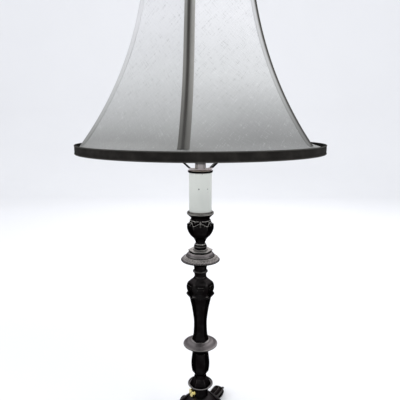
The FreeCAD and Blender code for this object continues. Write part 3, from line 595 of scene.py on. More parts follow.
def paint_tape(look, bottom, top):
    """Rib tape: two grey bands, the right one paler as painted light, either side of a dark line,
    with fine cross ribs of thread; painted light makes it paler at its edges near the top and on
    the two ribs that flank the front, and painted shade darkens it at the hem."""
    p = Paint("rib_tape", Specular_IOR_Level=0.2)
    across, along = p.cloth_axes()
    where = p.where()
    half = look.tape_width / 2
    tape, line = tint(look.tape), tint(look.tape_line)
    shade = p.ramp(p.between(across, -half, half), [
        (0.0, tint(tape, 1.6)), (0.06, tint(tape, 1.1)), (0.24, tape), (0.38, line), (0.53, line),
        (0.70, tape), (0.90, tint(tape, 1.4)), (1.0, tint(tape, 1.8))])
    rub = p.noise(where, 120.0)
    z, x = p.axis(where, "Z"), p.axis(where, "X")
    off = p.single("ABSOLUTE", across)
    # Painted light: the tape's edges grow paler near the top
    pale = p.ease(z, 0.60, 0.68) * p.ease(off, 0.35 * half, 0.6 * half) * 0.4
    shade = p.mix(pale, shade, (0.42, 0.42, 0.40))
    # Painted shade: darker towards the hem
    shade = p.mix(0.68 * p.ease(z, 0.58, 0.47), shade, tint(tape, 0.15))
    shade = p.mix(0.3 * rub, shade, tint(tape, 0.6))
    # Painted light: the tapes on the ribs that flank the front take the cloth's lit tone
    front = p.ease(p.axis(where, "Y"), 0.005, -0.015)
    left = p.ease(x, -0.035, -0.065) * front * 0.9
    right = p.ease(x, 0.035, 0.065) * front * p.ease(off, 0.30 * half, 0.75 * half) * 0.7
    shade = p.mix(left + right, shade, cloth_tone(p, look, bottom, top))
    return p.vary(Base_Color=shade, Roughness=0.75 + 0.1 * rub,
                  Normal=p.relief(p.ribbed(along, 0.0009), 0.0002, 0.6))


def paint_rim(look, name):
    """Dark woven band with fine upright ribs."""
    p = Paint(name, Specular_IOR_Level=0.03)
    rub = p.noise(p.where(), 60.0)
    stands = p.ease(p.wear(), 0.01, 0.06)
    shade = p.mix(p.ease(rub, 0.35, 0.75), tint(look.rim), tint(look.rim, 2.0))
    shade = p.mix(0.5 * stands, shade, (0.10, 0.098, 0.09))
    return p.vary(Base_Color=shade, Roughness=0.7 + 0.15 * rub,
                  Normal=p.relief(p.ribbed(p.axis(p.cloth_place(), "X"), 0.0012), 0.0002, 0.6))


def paint_felt():
    """Green felt, mottled by its fibres."""
    p = Paint("green_felt", Sheen_Weight=0.3)
    fuzz = p.noise(p.where(), 1500.0, 4.0, 0.7)
    shade = p.mix(fuzz, (0.05, 0.10, 0.06), (0.12, 0.19, 0.13))
    return p.vary(Base_Color=shade, Roughness=0.92 - 0.05 * fuzz, Normal=p.relief(fuzz, 0.0003, 0.8))


def paint_glass():
    """Frosted bulb: white coating seen through a thin clear skin."""
    p = Paint("bulb_frost", Transmission_Weight=0.35, IOR=1.45)
    haze = p.noise(p.where(), 40.0)
    shade = p.mix(haze, (0.90, 0.90, 0.87), (0.95, 0.95, 0.93))
    return p.vary(Base_Color=shade, Roughness=0.30 + 0.1 * haze)


# ------------------------------------------------------------------------ the shade
class Bell:
    """The shade's form: six ribs bent to one arc, flat panels between them that turn round
    at the two rings."""

    def __init__(self):
        boxes = [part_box(node) for node in PANELS]
        self.low = min(low.z for low, high in boxes) / MM
        self.high = max(high.z for low, high in boxes) / MM
        self.foot_radius = max(max(high.x, high.y) for low, high in boxes) / MM
        self.top_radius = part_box("shade_top_ring")[1].x / MM - RING_WIRE + TOP_RING_INSET
        rise, inset = self.high - self.low, self.foot_radius - self.top_radius
        chord = math.hypot(rise, inset)
        away = math.sqrt(RIB_BOW**2 - (chord / 2) ** 2)
        self.centre = ((self.foot_radius + self.top_radius) / 2 + away * rise / chord,
                       (self.low + self.high) / 2 + away * inset / chord)

    def rib(self, z, inward=0.0):
        """Distance of a rib from the axis: the arc round the outside centre."""
        return self.centre[0] - np.sqrt((RIB_BOW + inward) ** 2 - (z - self.centre[1]) ** 2)

    def roundness(self, z):
        hem = np.exp(-(((z - self.low) / HEM_FADE) ** 2))
        top = np.exp(-(((self.high - z) / TOP_FADE) ** 2))
        return FULLNESS + (1 - FULLNESS) * np.minimum(hem + top, 1.0)

    def panel(self, across, z, inward=0.0):
        """(r, angle from the panel's middle) of a point: across goes from -1 at one rib to 1
        at the next, evenly along the straight chord; the radius is that of the chord, drawn
        out towards the rib's radius by the roundness."""
        rib = self.rib(z, inward)
        half = math.pi / RIB_COUNT
        angle = np.arctan(across * math.tan(half))
        chord = rib * math.cos(half) / np.cos(angle)
        return chord + (rib - chord) * self.roundness(z), angle

    def rows(self, count, low, high):
        """Heights, closer together near the rings."""
        share = np.linspace(0, 1, count)
        return low + (high - low) * (share - 0.10 * np.sin(2 * np.pi * share))

    def cloth(self, name, inward, low, high, panels, ripple, columns=32, rows=110):
        """Some of the panels as one skin; each panel's pattern is laid out from its own middle
        line, in real length across and along the rib."""
        z = self.rows(rows, low, high)[:, None]
        across = np.linspace(-1, 1, columns)[None, :]
        rise = np.concatenate([[0], np.cumsum(np.hypot(np.diff(z[:, 0]), np.diff(self.rib(z[:, 0]))))])
        points, uv, faces = [], [], []
        one = quads(rows, columns, False, False)
        for number, k in enumerate(panels):
            r, angle = self.panel(across, z, inward)
            middle = math.radians(RIB_FIRST + RIB_STEP * (k + 0.5))
            pull = np.sin(math.pi * (across + 1) / 2)
            waves = (np.sin(0.031 * (z - low) * (1 + 0.15 * k) + 2.1 * k)
                     + 0.6 * np.sin(5.2 * across + 1.7 * k))
            r = r + ripple * pull * waves * (1 - self.roundness(z))
            points.append(round_axis(r, angle + middle, z).reshape(-1, 3))
            half_chord = self.rib(z) * math.sin(math.pi / RIB_COUNT)
            map_ = np.stack([across * half_chord + 37.0 * k, rise[:, None] + 0 * across + 11.0 * k], 2)
            uv.append(map_.reshape(-1, 2))
            faces.append(one + number * rows * columns)
        return mesh_object(name, np.vstack(points), np.vstack(faces), np.vstack(uv))

    def length(self, low, high):
        """Length of a rib between two heights."""
        z = np.linspace(low, high, 200)
        return float(np.hypot(np.diff(z), np.diff(self.rib(z))).sum())

    def area(self, inward, low, high):
        """Cloth area of the six panels in square metres, from the chord and the rib's length."""
        z = np.linspace(low, high, 200)
        rib = self.rib(z, inward)
        along = np.hypot(np.diff(z), np.diff(rib))
        return float(RIB_COUNT * ((rib[1:] + rib[:-1]) / 2 * along).sum() * MM * MM)


def thicken(made, wall):
    """Gives a skin its wall, inwards."""
    solid = made.modifiers.new("wall", "SOLIDIFY")
    solid.thickness = wall * MM
    solid.offset = -1.0
    solid.use_even_offset = False
    return made


def outward_skin(made):
    """Turns an open skin's faces away from the axis."""
    mesh = made.data
    face = max(mesh.polygons, key=lambda f: f.area)
    if face.normal.x * face.center.x + face.normal.y * face.center.y < 0:
        mesh.flip_normals()
    return made


class LAMP_OT_shade_cover(bpy.types.Operator):
    """Outer cloth of the shade, six sewn gores"""
    bl_idname = "lamp.shade_cover"
    bl_label = "Shade cover"

    def execute(self, context):
        look = context.scene.lamp_shade
        bell = Bell()
        material = paint_shade(look, bell.low, bell.high)
        for k, node in enumerate(PANELS):
            gore = outward_skin(bell.cloth("shade_gore_%d" % (k + 1), 0.0, bell.low, bell.high, [k], 0.5))
            place(thicken(gore, COVER_WALL), "shade", "shade_fabric", material, node)
        return {"FINISHED"}


class LAMP_OT_shade_lining(bpy.types.Operator):
    """Lining inside the rib wires"""
    bl_idname = "lamp.shade_lining"
    bl_label = "Shade lining"

    def execute(self, context):
        look = context.scene.lamp_shade
        bell = Bell()
        low, high = [v.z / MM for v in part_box("shade_lining")]
        every = range(RIB_COUNT)
        lining = outward_skin(bell.cloth("shade_lining_cloth", LINING_INSET, low, high, every, 0.3))
        thicken(lining, LINING_WALL)
        place(lining, "shade", "shade_lining", paint_lining(look), "shade_lining")
        return {"FINISHED"}


class LAMP_OT_shade_tapes(bpy.types.Operator):
    """Folded tapes over the ribs"""
    bl_idname = "lamp.shade_tapes"
    bl_label = "Rib tapes"

    def execute(self, context):
        look = context.scene.lamp_shade
        bell = Bell()
        low, high = [v.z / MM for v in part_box("rib_trims")]
        material = paint_tape(look, bell.low, bell.high)
        for k in range(RIB_COUNT):
            drift = FRONT_DRIFT if k == 0 else 0.0
            width = look.tape_width
            direction = RIB_FIRST + RIB_STEP * k
            tape = self.tape("rib_tape_%d" % (k + 1), bell, low, high, width / MM, direction, drift)
            place(tape, "shade", "trim", material, *(["rib_trims"] if k == 0 else []))
        return {"FINISHED"}

    def tape(self, name, bell, low, high, width, direction, drift):
        """A strip laid over the rib: each point lies its distance across from the rib line on
        the panel beside it, lifted by two rounded bands with a groove between them; the whole
        strip drifts sideways in the middle of its height."""
        z = np.linspace(low, high, 120)[:, None]
        x = np.linspace(-width / 2, width / 2, 25)[None, :]
        share = np.abs(x) / (width / 2)
        lift = 0.95 * np.clip(np.sin(math.pi * np.clip((share - 0.06) / 0.94, 0, 1)) ** 0.45, 0.28, 1)
        x2 = np.concatenate([x, x[:, ::-1]], 1)
        lift2 = np.concatenate([lift, 0 * lift - 0.05], 1)
        rib = bell.rib(z)
        half = math.pi / RIB_COUNT
        aside = x2 + drift * (0.38 + 0.80 * bump(z, low + 0.67 * (high - low), 0.36 * (high - low)))
        chord = (rib * math.sin(half) - np.abs(aside)) / (rib * math.cos(half))
        r, angle = bell.panel(chord / math.tan(half), z)
        turn = math.radians(direction) + np.sign(aside) * (half - angle)
        points = round_axis(r + lift2 + 0.1, turn, z)
        uv = np.stack([x2 + 0 * z, z + 0 * x2], 2)
        return grid_object(name, points, wrap_columns=True, uv=uv)


class LAMP_OT_shade_bands(bpy.types.Operator):
    """Bands round the two rims of the shade"""
    bl_idname = "lamp.shade_bands"
    bl_label = "Rim bands"

    def execute(self, context):
        look = context.scene.lamp_shade
        for node, name in (("rim_band", "rim_band_tape"), ("top_band", "top_band_tape")):
            foot, top, reach = extent(node)
            band = self.band(name, foot, top, reach)
            place(band, "shade", "trim", paint_rim(look, name + "_cloth"), node)
        return {"FINISHED"}

    def band(self, name, foot, top, radius):
        """Flat band with a corded edge above and below: its face stands out as two narrow
        rounded cords at the ends and a shallow one along the middle."""
        wall = 1.2
        z = np.linspace(foot, top, 34)
        share = (z - foot) / (top - foot)
        cord = np.maximum(bump(share, 0.07, 0.07), bump(share, 0.93, 0.07))
        outer = radius - 0.55 + 0.55 * cord + 0.15 * bump(share, 0.5, 0.22)
        rows = np.concatenate([np.stack([outer, z], 1), np.stack([0 * outer + radius - wall, z], 1)[::-1]])
        theta = np.linspace(0, 2 * np.pi, 361)[None, :]
        r, high = rows[:, :1], rows[:, 1:]
        points = round_axis(r, theta, high)
        uv = np.stack([radius * theta + 0 * r, high + 0 * theta], 2)
        return grid_object(name, points, wrap_rows=True, uv=uv)


class LAMP_OT_shade_frame(bpy.types.Operator):
    """White enamelled wires of the shade"""
    bl_idname = "lamp.shade_frame"
    bl_label = "Shade frame"

    def execute(self, context):
        enamel = paint_metal("white_enamel", (0.72, 0.72, 0.70), 0.0, 0.35)
        repaint(enamel, "shade_bottom_ring", "shade_top_ring", "rib_wires", "spider")
        return {"FINISHED"}


# ----------------------------------------------------------------------- the column
class LAMP_OT_turned_pieces(bpy.types.Operator):
    """Round pieces of the column"""
    bl_idname = "lamp.turned_pieces"
    bl_label = "Turned pieces"

    def execute(self, context):
        look = context.scene.lamp_metal
        dark = paint_bronze(look, "patinated_metal", 0.10, 0.10)
        # Each piece's first share is painted light on faces that look up; the step's inner radius keeps
        # painted shade where the spacer stands on it
        shapes = {
            "lower_column": (self.column, dark), "neck_ring": (self.neck, dark),
            "spacer_ring": (self.spacer, dark),
            "collar_dish": (self.dish, paint_bronze(look, "dish_metal", 0.40, 0.1, painted_hollow_shade=0.0, metallic=0.3)),
            "saucer": (self.saucer, paint_bronze(look, "saucer_metal", 0.36, 0.18)),
            "round_step": (self.step, paint_bronze(look, "step_metal", 1.0, 0.18, 17.2, shine=1.15)),
            "torus_ring": (self.torus, paint_bronze(look, "torus_metal", 0.6, 0.5)),
        }
        for node, (runs, metal) in shapes.items():
            foot, top, radius = extent(node)
            made = revolved("turned_" + node, runs(foot, top, radius))
            place(soften(made, look.edge), "stand", "bronze", metal, node)
        return {"FINISHED"}

    def column(self, foot, top, r):
        return [[(r, foot), (r, top)]]

    def dish(self, foot, top, r):
        at = heights(foot, top)
        return [[(12.5, foot), (14.9, at(0.4)), (r, top - 1.5)],
                [(r - 0.1, top - 0.5), (r - 0.8, top), (r - 1.5, top - 0.4)],
                [(r - 2.0, at(0.65)), (r - 3.0, at(0.5))],
                [(BORE, at(0.5))]]

    def saucer(self, foot, top, r):
        at = heights(foot, top)
        under = at(0.64)
        return [[(12.5, foot), (14.5, at(0.16)), (0.8 * r, at(0.46)), (r - 0.8, under - 0.1)],
                [(r, under + 0.7), (r - 0.5, under + 1.8)],
                [(r - 2.0, under + 2.2), (0.74 * r, at(0.88)),
                 (0.60 * r, at(0.94)), (14.2, top)]]

    def neck(self, foot, top, r):
        at = heights(foot, top)
        return [[(9.2, foot), (9.2, at(0.2)), (9.8, at(0.36))],
                [(9.9, at(0.36))], [(r, at(0.48)), (9.9, at(0.60))],
                [(9.7, at(0.60))], [(9.9, at(0.85)), (10.5, top)]]

    def step(self, foot, top, r):
        at = heights(foot, top)
        return [[(r - 0.4, foot), (r, at(0.12)), (r - 1.2, at(0.45)), (r - 4.4, top)]]

    def spacer(self, foot, top, r):
        return [[(r, foot), (r - 1.0, (foot + top) / 2), (r, top)]]

    def torus(self, foot, top, r):
        at = heights(foot, top)
        wide = r - 1.4
        return [[(r, foot), (r - 0.1, at(0.07)), (r - 0.4, at(0.13))],
                [(wide - 1.6, at(0.17))],
                [(wide - 0.2, at(0.38)), (wide, at(0.52)),
                 (wide - 0.8, at(0.82)), (8.5, top)]]


class LAMP_OT_drip_plate(bpy.types.Operator):
    """Wide plate with a ring of leaves on its top"""
    bl_idname = "lamp.drip_plate"
    bl_label = "Drip plate"

    def execute(self, context):
        look = context.scene.lamp_metal
        foot, top, radius = extent("drip_plate")
        at = heights(foot, top)
        under = at(0.545)
        edge = under + 2.2
        dome = top - edge
        runs = [[(10.5, foot), (16.0, at(0.28)), (0.84 * radius, at(0.46)),
                 (radius - 0.6, under - 0.1)],
                [(radius, under + 0.5), (radius, edge - 0.5), (radius - 0.5, edge)],
                [(radius - 1.6, edge + 0.26 * dome), (radius - 4.4, edge + 0.66 * dome),
                 (step_radius(), top)],
                [(BORE, top)]]
        leaves = 36

        def shape(theta, z, r):
            """Faintly scalloped rim, and on the domed top leaves that lean one way: a ridge for
            each, notched along its edges."""
            on_top = bump(r, radius - 4.4, 2.6) * (z > edge - 0.1)
            lean = theta * leaves + 0.55 * (r - radius)
            leaf = np.abs(np.sin(lean / 2)) ** 0.7
            notch = 0.16 * np.sin(3 * lean + 1.4 * r)
            rim = bump(r, radius, 0.8)
            wave = np.cos(theta * 2 * leaves)
            return r - 0.14 * rim * (1 - wave), z + on_top * (0.9 * leaf + 1.5 * notch - 0.6)

        made = revolved("leafed_drip_plate", runs, columns=720, shape=shape, spacing=0.45)
        # Painted light on the domed top, none inside the step's foot (painted shade) nor on the rim; painted
        # shade in the hollows
        metal = paint_bronze(look, "leafed_metal", 1.0, 0.7, 21.8, edge - 0.3, 0.9, 1.15)
        place(made, "stand", "bronze", metal, "drip_plate")
        return {"FINISHED"}


def step_radius():
    """Radius of the drip plate's flat top, just outside the round step on it."""
    return extent("round_step")[2] + 0.3


class LAMP_OT_six_sided_pieces(bpy.types.Operator):
    """Six-sided pieces of the column with worn corners"""
    bl_idname = "lamp.six_sided_pieces"
    bl_label = "Six-sided pieces"

    def execute(self, context):
        look = context.scene.lamp_metal
        # Painted light on faces that look up, strongest on the hex plate and kept off the recess under the
        # torus
        dark = paint_bronze(look, "faceted_metal", 0.20, 0.03, painted_hollow_shade=0.2)
        footed = paint_bronze(look, "knop_metal", 0.60, 0.03, painted_hollow_shade=0.0)
        bright = paint_bronze(look, "plate_metal", 0.75, 0.45, 11.2)
        pieces = (("knop", self.knop, footed), ("shaft", self.shaft, dark),
                  ("hex_plate", self.plate, bright))
        for node, runs, metal in pieces:
            foot, top, radius = extent(node)
            made = revolved("six_sided_" + node, runs(foot, top, radius), columns=240, spacing=0.6,
                            shape=lambda theta, z, r: (r * hexagon(theta, 2.5), z))
            place(soften(made, look.edge, 40), "stand", "bronze", metal, node)
        return {"FINISHED"}

    def knop(self, foot, top, r):
        at = heights(foot, top)
        wide = 14.6
        waist = 9.2
        return [[(r, foot), (r - 0.7, at(0.06)), (waist + 5.3, at(0.12)),
                 (waist + 3.0, at(0.185)), (waist + 0.8, at(0.25)), (waist, at(0.32))],
                [(wide - 1.8, at(0.40))],
                [(wide - 0.4, at(0.53)), (wide, at(0.66)),
                 (wide - 0.8, at(0.83)), (12.5, top)]]

    def shaft(self, foot, top, r):
        at = heights(foot, top)
        waist = 10.2
        return [[(13.4, foot), (12.6, at(0.05)), (waist + 1.0, at(0.12)),
                 (waist + 0.3, at(0.22)), (waist, at(0.33)), (waist, at(0.44)),
                 (waist + 1.2, at(0.58)), (waist + 3.0, at(0.74)), (r - 1.7, at(0.89)),
                 (r, top)]]

    def plate(self, foot, top, r):
        return [[(r - 0.4, foot), (r, foot + 0.4)], [(r, top - 0.4)],
                [(r - 0.5, top)]]


class LAMP_OT_vase(bpy.types.Operator):
    """Bulb-shaped vase over a collar of curled leaf tips"""
    bl_idname = "lamp.vase"
    bl_label = "Vase"

    def execute(self, context):
        look = context.scene.lamp_metal
        foot, top, radius = extent("vase")
        k, at = top - foot, heights(foot, top)
        collar = 20.4
        runs = [[(17.3, foot), (collar - 0.2, at(0.03)), (collar, at(0.14)),
                 (collar - 0.8, at(0.22)), (radius - 0.2, at(0.38)), (radius, at(0.51)),
                 (radius - 1.6, at(0.69)), (14.4, at(0.84)), (10.6, at(0.94)), (9.4, top)]]

        def shape(theta, z, r):
            """Six faces; a leaf on each corner from the collar up to the shoulder, with a vein
            and a rolled tip; a raised band across each face; scallops along the collar."""
            t = (z - foot) / k
            from_corner, from_face = six_sided(theta)
            flat = hexagon(theta, 5.0)
            leaf_half = 15.0 * np.clip(np.sin(math.pi * np.clip((t - 0.02) / 0.80, 0, 1)), 0, 1) ** 0.6 + 0.5
            inside = np.clip((leaf_half - np.abs(from_corner)) / 4.0, 0, 1)
            leaf = inside**0.7 * (1.1 - 0.45 * bump(from_corner, 0, 2.2))
            away = np.abs(from_face)
            band = bump(t, 0.46, 0.05) * (away < 14) + 0.6 * bump(t, 0.60, 0.03) * (away < 12)
            scallop = bump(t, 0.10, 0.07) * (0.9 * np.cos(np.radians(6 * from_corner)) + 0.35)
            body = r * flat + leaf * 0.6 * bump(t, 0.42, 0.34) + 0.6 * band + 0.9 * scallop
            drop = -1.0 * bump(t, 0.08, 0.08) * np.cos(np.radians(6 * from_face))
            limit = radius * hexagon(theta, 0.5) + 1.2
            return np.minimum(body, limit), z + drop * (t > 0.005)

        made = revolved("leafed_vase", runs, columns=300, shape=shape, spacing=0.5)
        place(made, "stand", "bronze", paint_bronze(look, "vase_metal", 0.10, 0.18), "vase")
        return {"FINISHED"}


class LAMP_OT_urn(bpy.types.Operator):
    """Six-lobed urn with leaf ornament at its shoulder and a double lip"""
    bl_idname = "lamp.urn"
    bl_label = "Urn"

    def execute(self, context):
        look = context.scene.lamp_metal
        foot, top, lip = extent("urn_cup")
        k, at = top - foot, heights(foot, top)
        wide, neck, cup = 20.4, 14.5, 17.1
        body = [(8.2, foot), (7.3, at(0.035)), (8.2, at(0.09)), (9.7, at(0.148)),
                (wide - 5.1, at(0.26)), (wide - 1.6, at(0.38)), (wide, at(0.508)),
                (wide - 0.5, at(0.578)), (wide - 3.4, at(0.637)), (neck, at(0.736))]
        collar = [(neck + 0.2, at(0.80)), (lip - 3.4, at(0.85)),
                  (lip - 0.6, top - 4.9)]
        edge = [(lip, top - 4.2), (lip - 0.1, top - 3.5), (lip - 1.3, top - 3.2),
                (lip - 0.3, top - 2.9), (lip, top - 2.3), (lip - 0.5, top - 1.8), (lip - 1.9, top - 1.7)]
        ring = [(lip - 1.7, top - 1.0), (lip - 2.1, top - 0.3), (cup + 0.6, top)]
        inside = [(cup, top - 0.5), (cup, top - 3.5)]
        floor = [(BORE, top - 3.5)]

        def shape(theta, z, r):
            """Round at the foot and lip, six-sided between; on each face a leaf lies on the
            shoulder's middle, with a ledge on either side of its tip and a swag from it down to
            a knob on each corner."""
            t = (z - foot) / k
            outside = r > neck - 8
            faceted = np.clip(1.15 * bump(t, 0.45, 0.38), 0, 1) * (t < 0.80)
            flat = 1 - (1 - hexagon(theta, 4.0)) * faceted
            from_corner, from_face = six_sided(theta)
            away = np.abs(from_face)
            vein = 1.5 - 0.8 * bump(from_face, 0, 1.4)
            leaf = 0.7 * bump(from_face, 0, 4.6) * bump(t, 0.67, 0.085) * vein
            ledge = bump(t, 0.722, 0.017) * np.clip((away - 7) / 4, 0, 1)
            swag = bump(t, 0.668 - 0.0031 * (away - 5), 0.013) * np.clip((away - 4) / 3, 0, 1) * (away < 27)
            beads = 0.45 * np.cos(np.radians(from_face) * 52) * swag
            knob = bump(from_corner, 0, 4.0) * bump(t, 0.597, 0.020)
            curl = bump(from_corner, 0, 6.0) * bump(t, 0.690, 0.028)
            relief = leaf + 1.5 * ledge + 1.2 * swag + beads + 1.2 * knob + 0.7 * curl
            tip = 0.8 * bump(from_face, 0, 4.0) * bump(t, 0.965, 0.02)
            limit = np.where(t < 0.80, wide * hexagon(theta, 0.5) + 1.0, lip + 0.3)
            shaped = np.minimum(r * flat + relief * (t < 0.80) + tip, limit)
            return np.where(outside & (t < 0.97), shaped, r), z

        made = revolved("lobed_urn", [body, collar, edge, ring, inside, floor], columns=300, shape=shape,
                        spacing=0.45)
        # Painted light on the lip's top and upward faces, none inside the cup where the sleeve stands
        metal = paint_bronze(look, "urn_metal", 0.9, 0.95, 16.9, top - 1.5)
        place(made, "stand", "bronze", metal, "urn_cup")
        return {"FINISHED"}


class LAMP_OT_candle(bpy.types.Operator):
    """Candle sleeve and the cap disc on it"""
    bl_idname = "lamp.candle"
    bl_label = "Candle sleeve"

    def execute(self, context):
        look = context.scene.lamp_candle
        foot, top, r = extent("candle_sleeve")
        runs = [[(r - 0.5, foot), (r, foot + 0.5)], [(r - 0.05, (foot + top) / 2), (r, top - 0.6)],
                [(r - 0.5, top)]]
        made = revolved("cream_sleeve", runs, hole=r - SLEEVE_WALL, columns=160, spacing=1.2)
        place(soften(made, 0.0002), "stand", "candle", paint_candle(look, foot, top), "candle_sleeve")
        metal = context.scene.lamp_metal
        foot, top, r = extent("sleeve_cap")
        rim = foot + 3.0
        runs = [[(15.5, foot), (15.5, rim)], [(r - 1.6, rim)],
                [(r - 0.3, rim + 0.6), (r, rim + 1.4)],
                [(r, top - 0.6), (r - 0.3, top - 0.15), (r - 0.9, top)]]
        cap = soften(revolved("domed_sleeve_cap", runs), metal.edge)
        # Painted light: the cap's top face only, half as bright again
        bronze = paint_bronze(metal, "cap_metal", 1.0, 0.0, above=top - 0.7, shine=1.5)
        place(cap, "stand", "bronze", bronze, "sleeve_cap")
        return {"FINISHED"}


# --------------------------------------------------------------------------- base
class LAMP_OT_hub(bpy.types.Operator):
    """Bell-shaped hub"""
    bl_idname = "lamp.hub"
    bl_label = "Hub"

    def execute(self, context):
        repaint(paint_bronze(context.scene.lamp_metal, "hub_metal", 0.06), "base_hub")
        return {"FINISHED"}


class LAMP_OT_legs(bpy.types.Operator):
    """Slender cast legs with rolled edges"""
    bl_idname = "lamp.legs"
    bl_label = "Legs"

    def execute(self, context):
        metal = paint_bronze(context.scene.lamp_metal, "leg_metal", 0.03, 0.15)
        for k in range(LEG_COUNT):
            made = self.leg("cast_leg_%d" % (k + 1), LEG_FIRST + LEG_STEP * k)
            place(made, "stand", "bronze", metal, "leg_%d" % (k + 1))
        return {"FINISHED"}

    def leg(self, name, direction):
        """A loop round the leg at each distance from the axis: the top crosses with a shallow
        channel between two rolled edges, the sides draw in under them, the underside is
        narrower; all of it follows the top line, the under line and the half width."""
        out, down, up = heights(LEG_ROOT, LEG_REACH), heights(50.0, 6.0), heights(PAD_LIFT, 35.0)
        flat = LEG_REACH - 18.0
        top = smooth([(out(0), down(0)), (out(0.22), down(0.33)), (out(0.42), down(0.59)),
                      (out(0.66), down(0.74)), (out(0.87), down(0.83)), (out(1), down(1))], 200)
        under = smooth([(out(0), up(1)), (out(0.2), up(0.66)), (out(0.42), up(0.33)),
                        (flat - 14.0, up(0.14)), (flat, up(0))], 200)
        wide = smooth([(out(0), 13.5), (out(0.27), 11.6), (out(0.55), 10.2), (out(0.80), 9.6),
                       (out(0.93), 7.6), (out(0.98), 4.7), (out(1), 2.5)], 200)
        r = out(1 - (1 - np.linspace(0, 1, 110)) ** 1.3)
        upper = np.interp(r, top[:, 0], top[:, 1])[:, None]
        lower = np.interp(r, under[:, 0], under[:, 1])[:, None]
        half = np.interp(r, wide[:, 0], wide[:, 1])[:, None]
        x = np.linspace(-1, 1, 33)[None, :]
        channel = np.clip(1 - (np.abs(x) / 0.8) ** 4, 0, 1)
        spine = bump(x, 0, 0.16)
        depth = np.minimum(0.30 * (upper - lower), 1.7)
        crown = upper - depth * (channel - 0.6 * spine) * 0.8
        crown = np.minimum(crown, upper) - 0.6 * depth * np.clip((np.abs(x) - 0.9) / 0.1, 0, 1) ** 2
        side = np.linspace(0.12, 0.88, 6)[None, :]
        draw = 1 - 0.20 * np.sin(math.pi * side)
        across = np.concatenate([half * x, half * draw, half * 0.88 * x[:, ::-1], -half * draw[:, ::-1]], 1)
        edge_top = upper - 0.6 * depth
        right = edge_top + (lower - edge_top) * side
        left = lower + (edge_top - lower) * side
        height = np.concatenate([crown, right, lower + 0 * x, left], 1)
        far = np.broadcast_to(r[:, None], across.shape)
        return grid_object(name, swung(far, across, height, math.radians(direction)), wrap_columns=True)


class LAMP_OT_hardware(bpy.types.Operator):
    """Small fittings of the base and the pipe"""
    bl_idname = "lamp.hardware"
    bl_label = "Hardware"

    def execute(self, context):
        look = context.scene.lamp_metal
        repaint(paint_metal("plain_steel", (0.42, 0.41, 0.40), 1.0, 0.35), "leg_bolts", "centre_pipe",
                "base_washer", "base_nut")
        repaint(paint_metal("black_plate", (0.03, 0.03, 0.03), 0.3, 0.45), "base_cover")
        repaint(paint_metal("raw_iron", (0.13, 0.13, 0.135), 0.6, 0.7), "ballast")
        repaint(paint_plastic("black_rubber", (0.025, 0.025, 0.025), 0.65), "cord_bushing")
        repaint(paint_metal("bright_brass", look.brass, 1.0, 0.22), "lock_screw")
        felt = paint_felt()
        for k in range(LEG_COUNT):
            turn = math.radians(LEG_FIRST + LEG_STEP * k)
            pad = revolved("felt_pad_%d" % (k + 1), [[(4.1, 0.0), (4.5, 0.4), (4.4, 1.1), (4.0, PAD_LIFT)]],
                           hole=0.6, columns=48, spacing=0.4)
            shift(pad, PAD_REACH * math.cos(turn), PAD_REACH * math.sin(turn))
            place(pad, "stand", "felt", felt, *(["felt_pads"] if k == 0 else []))
        return {"FINISHED"}


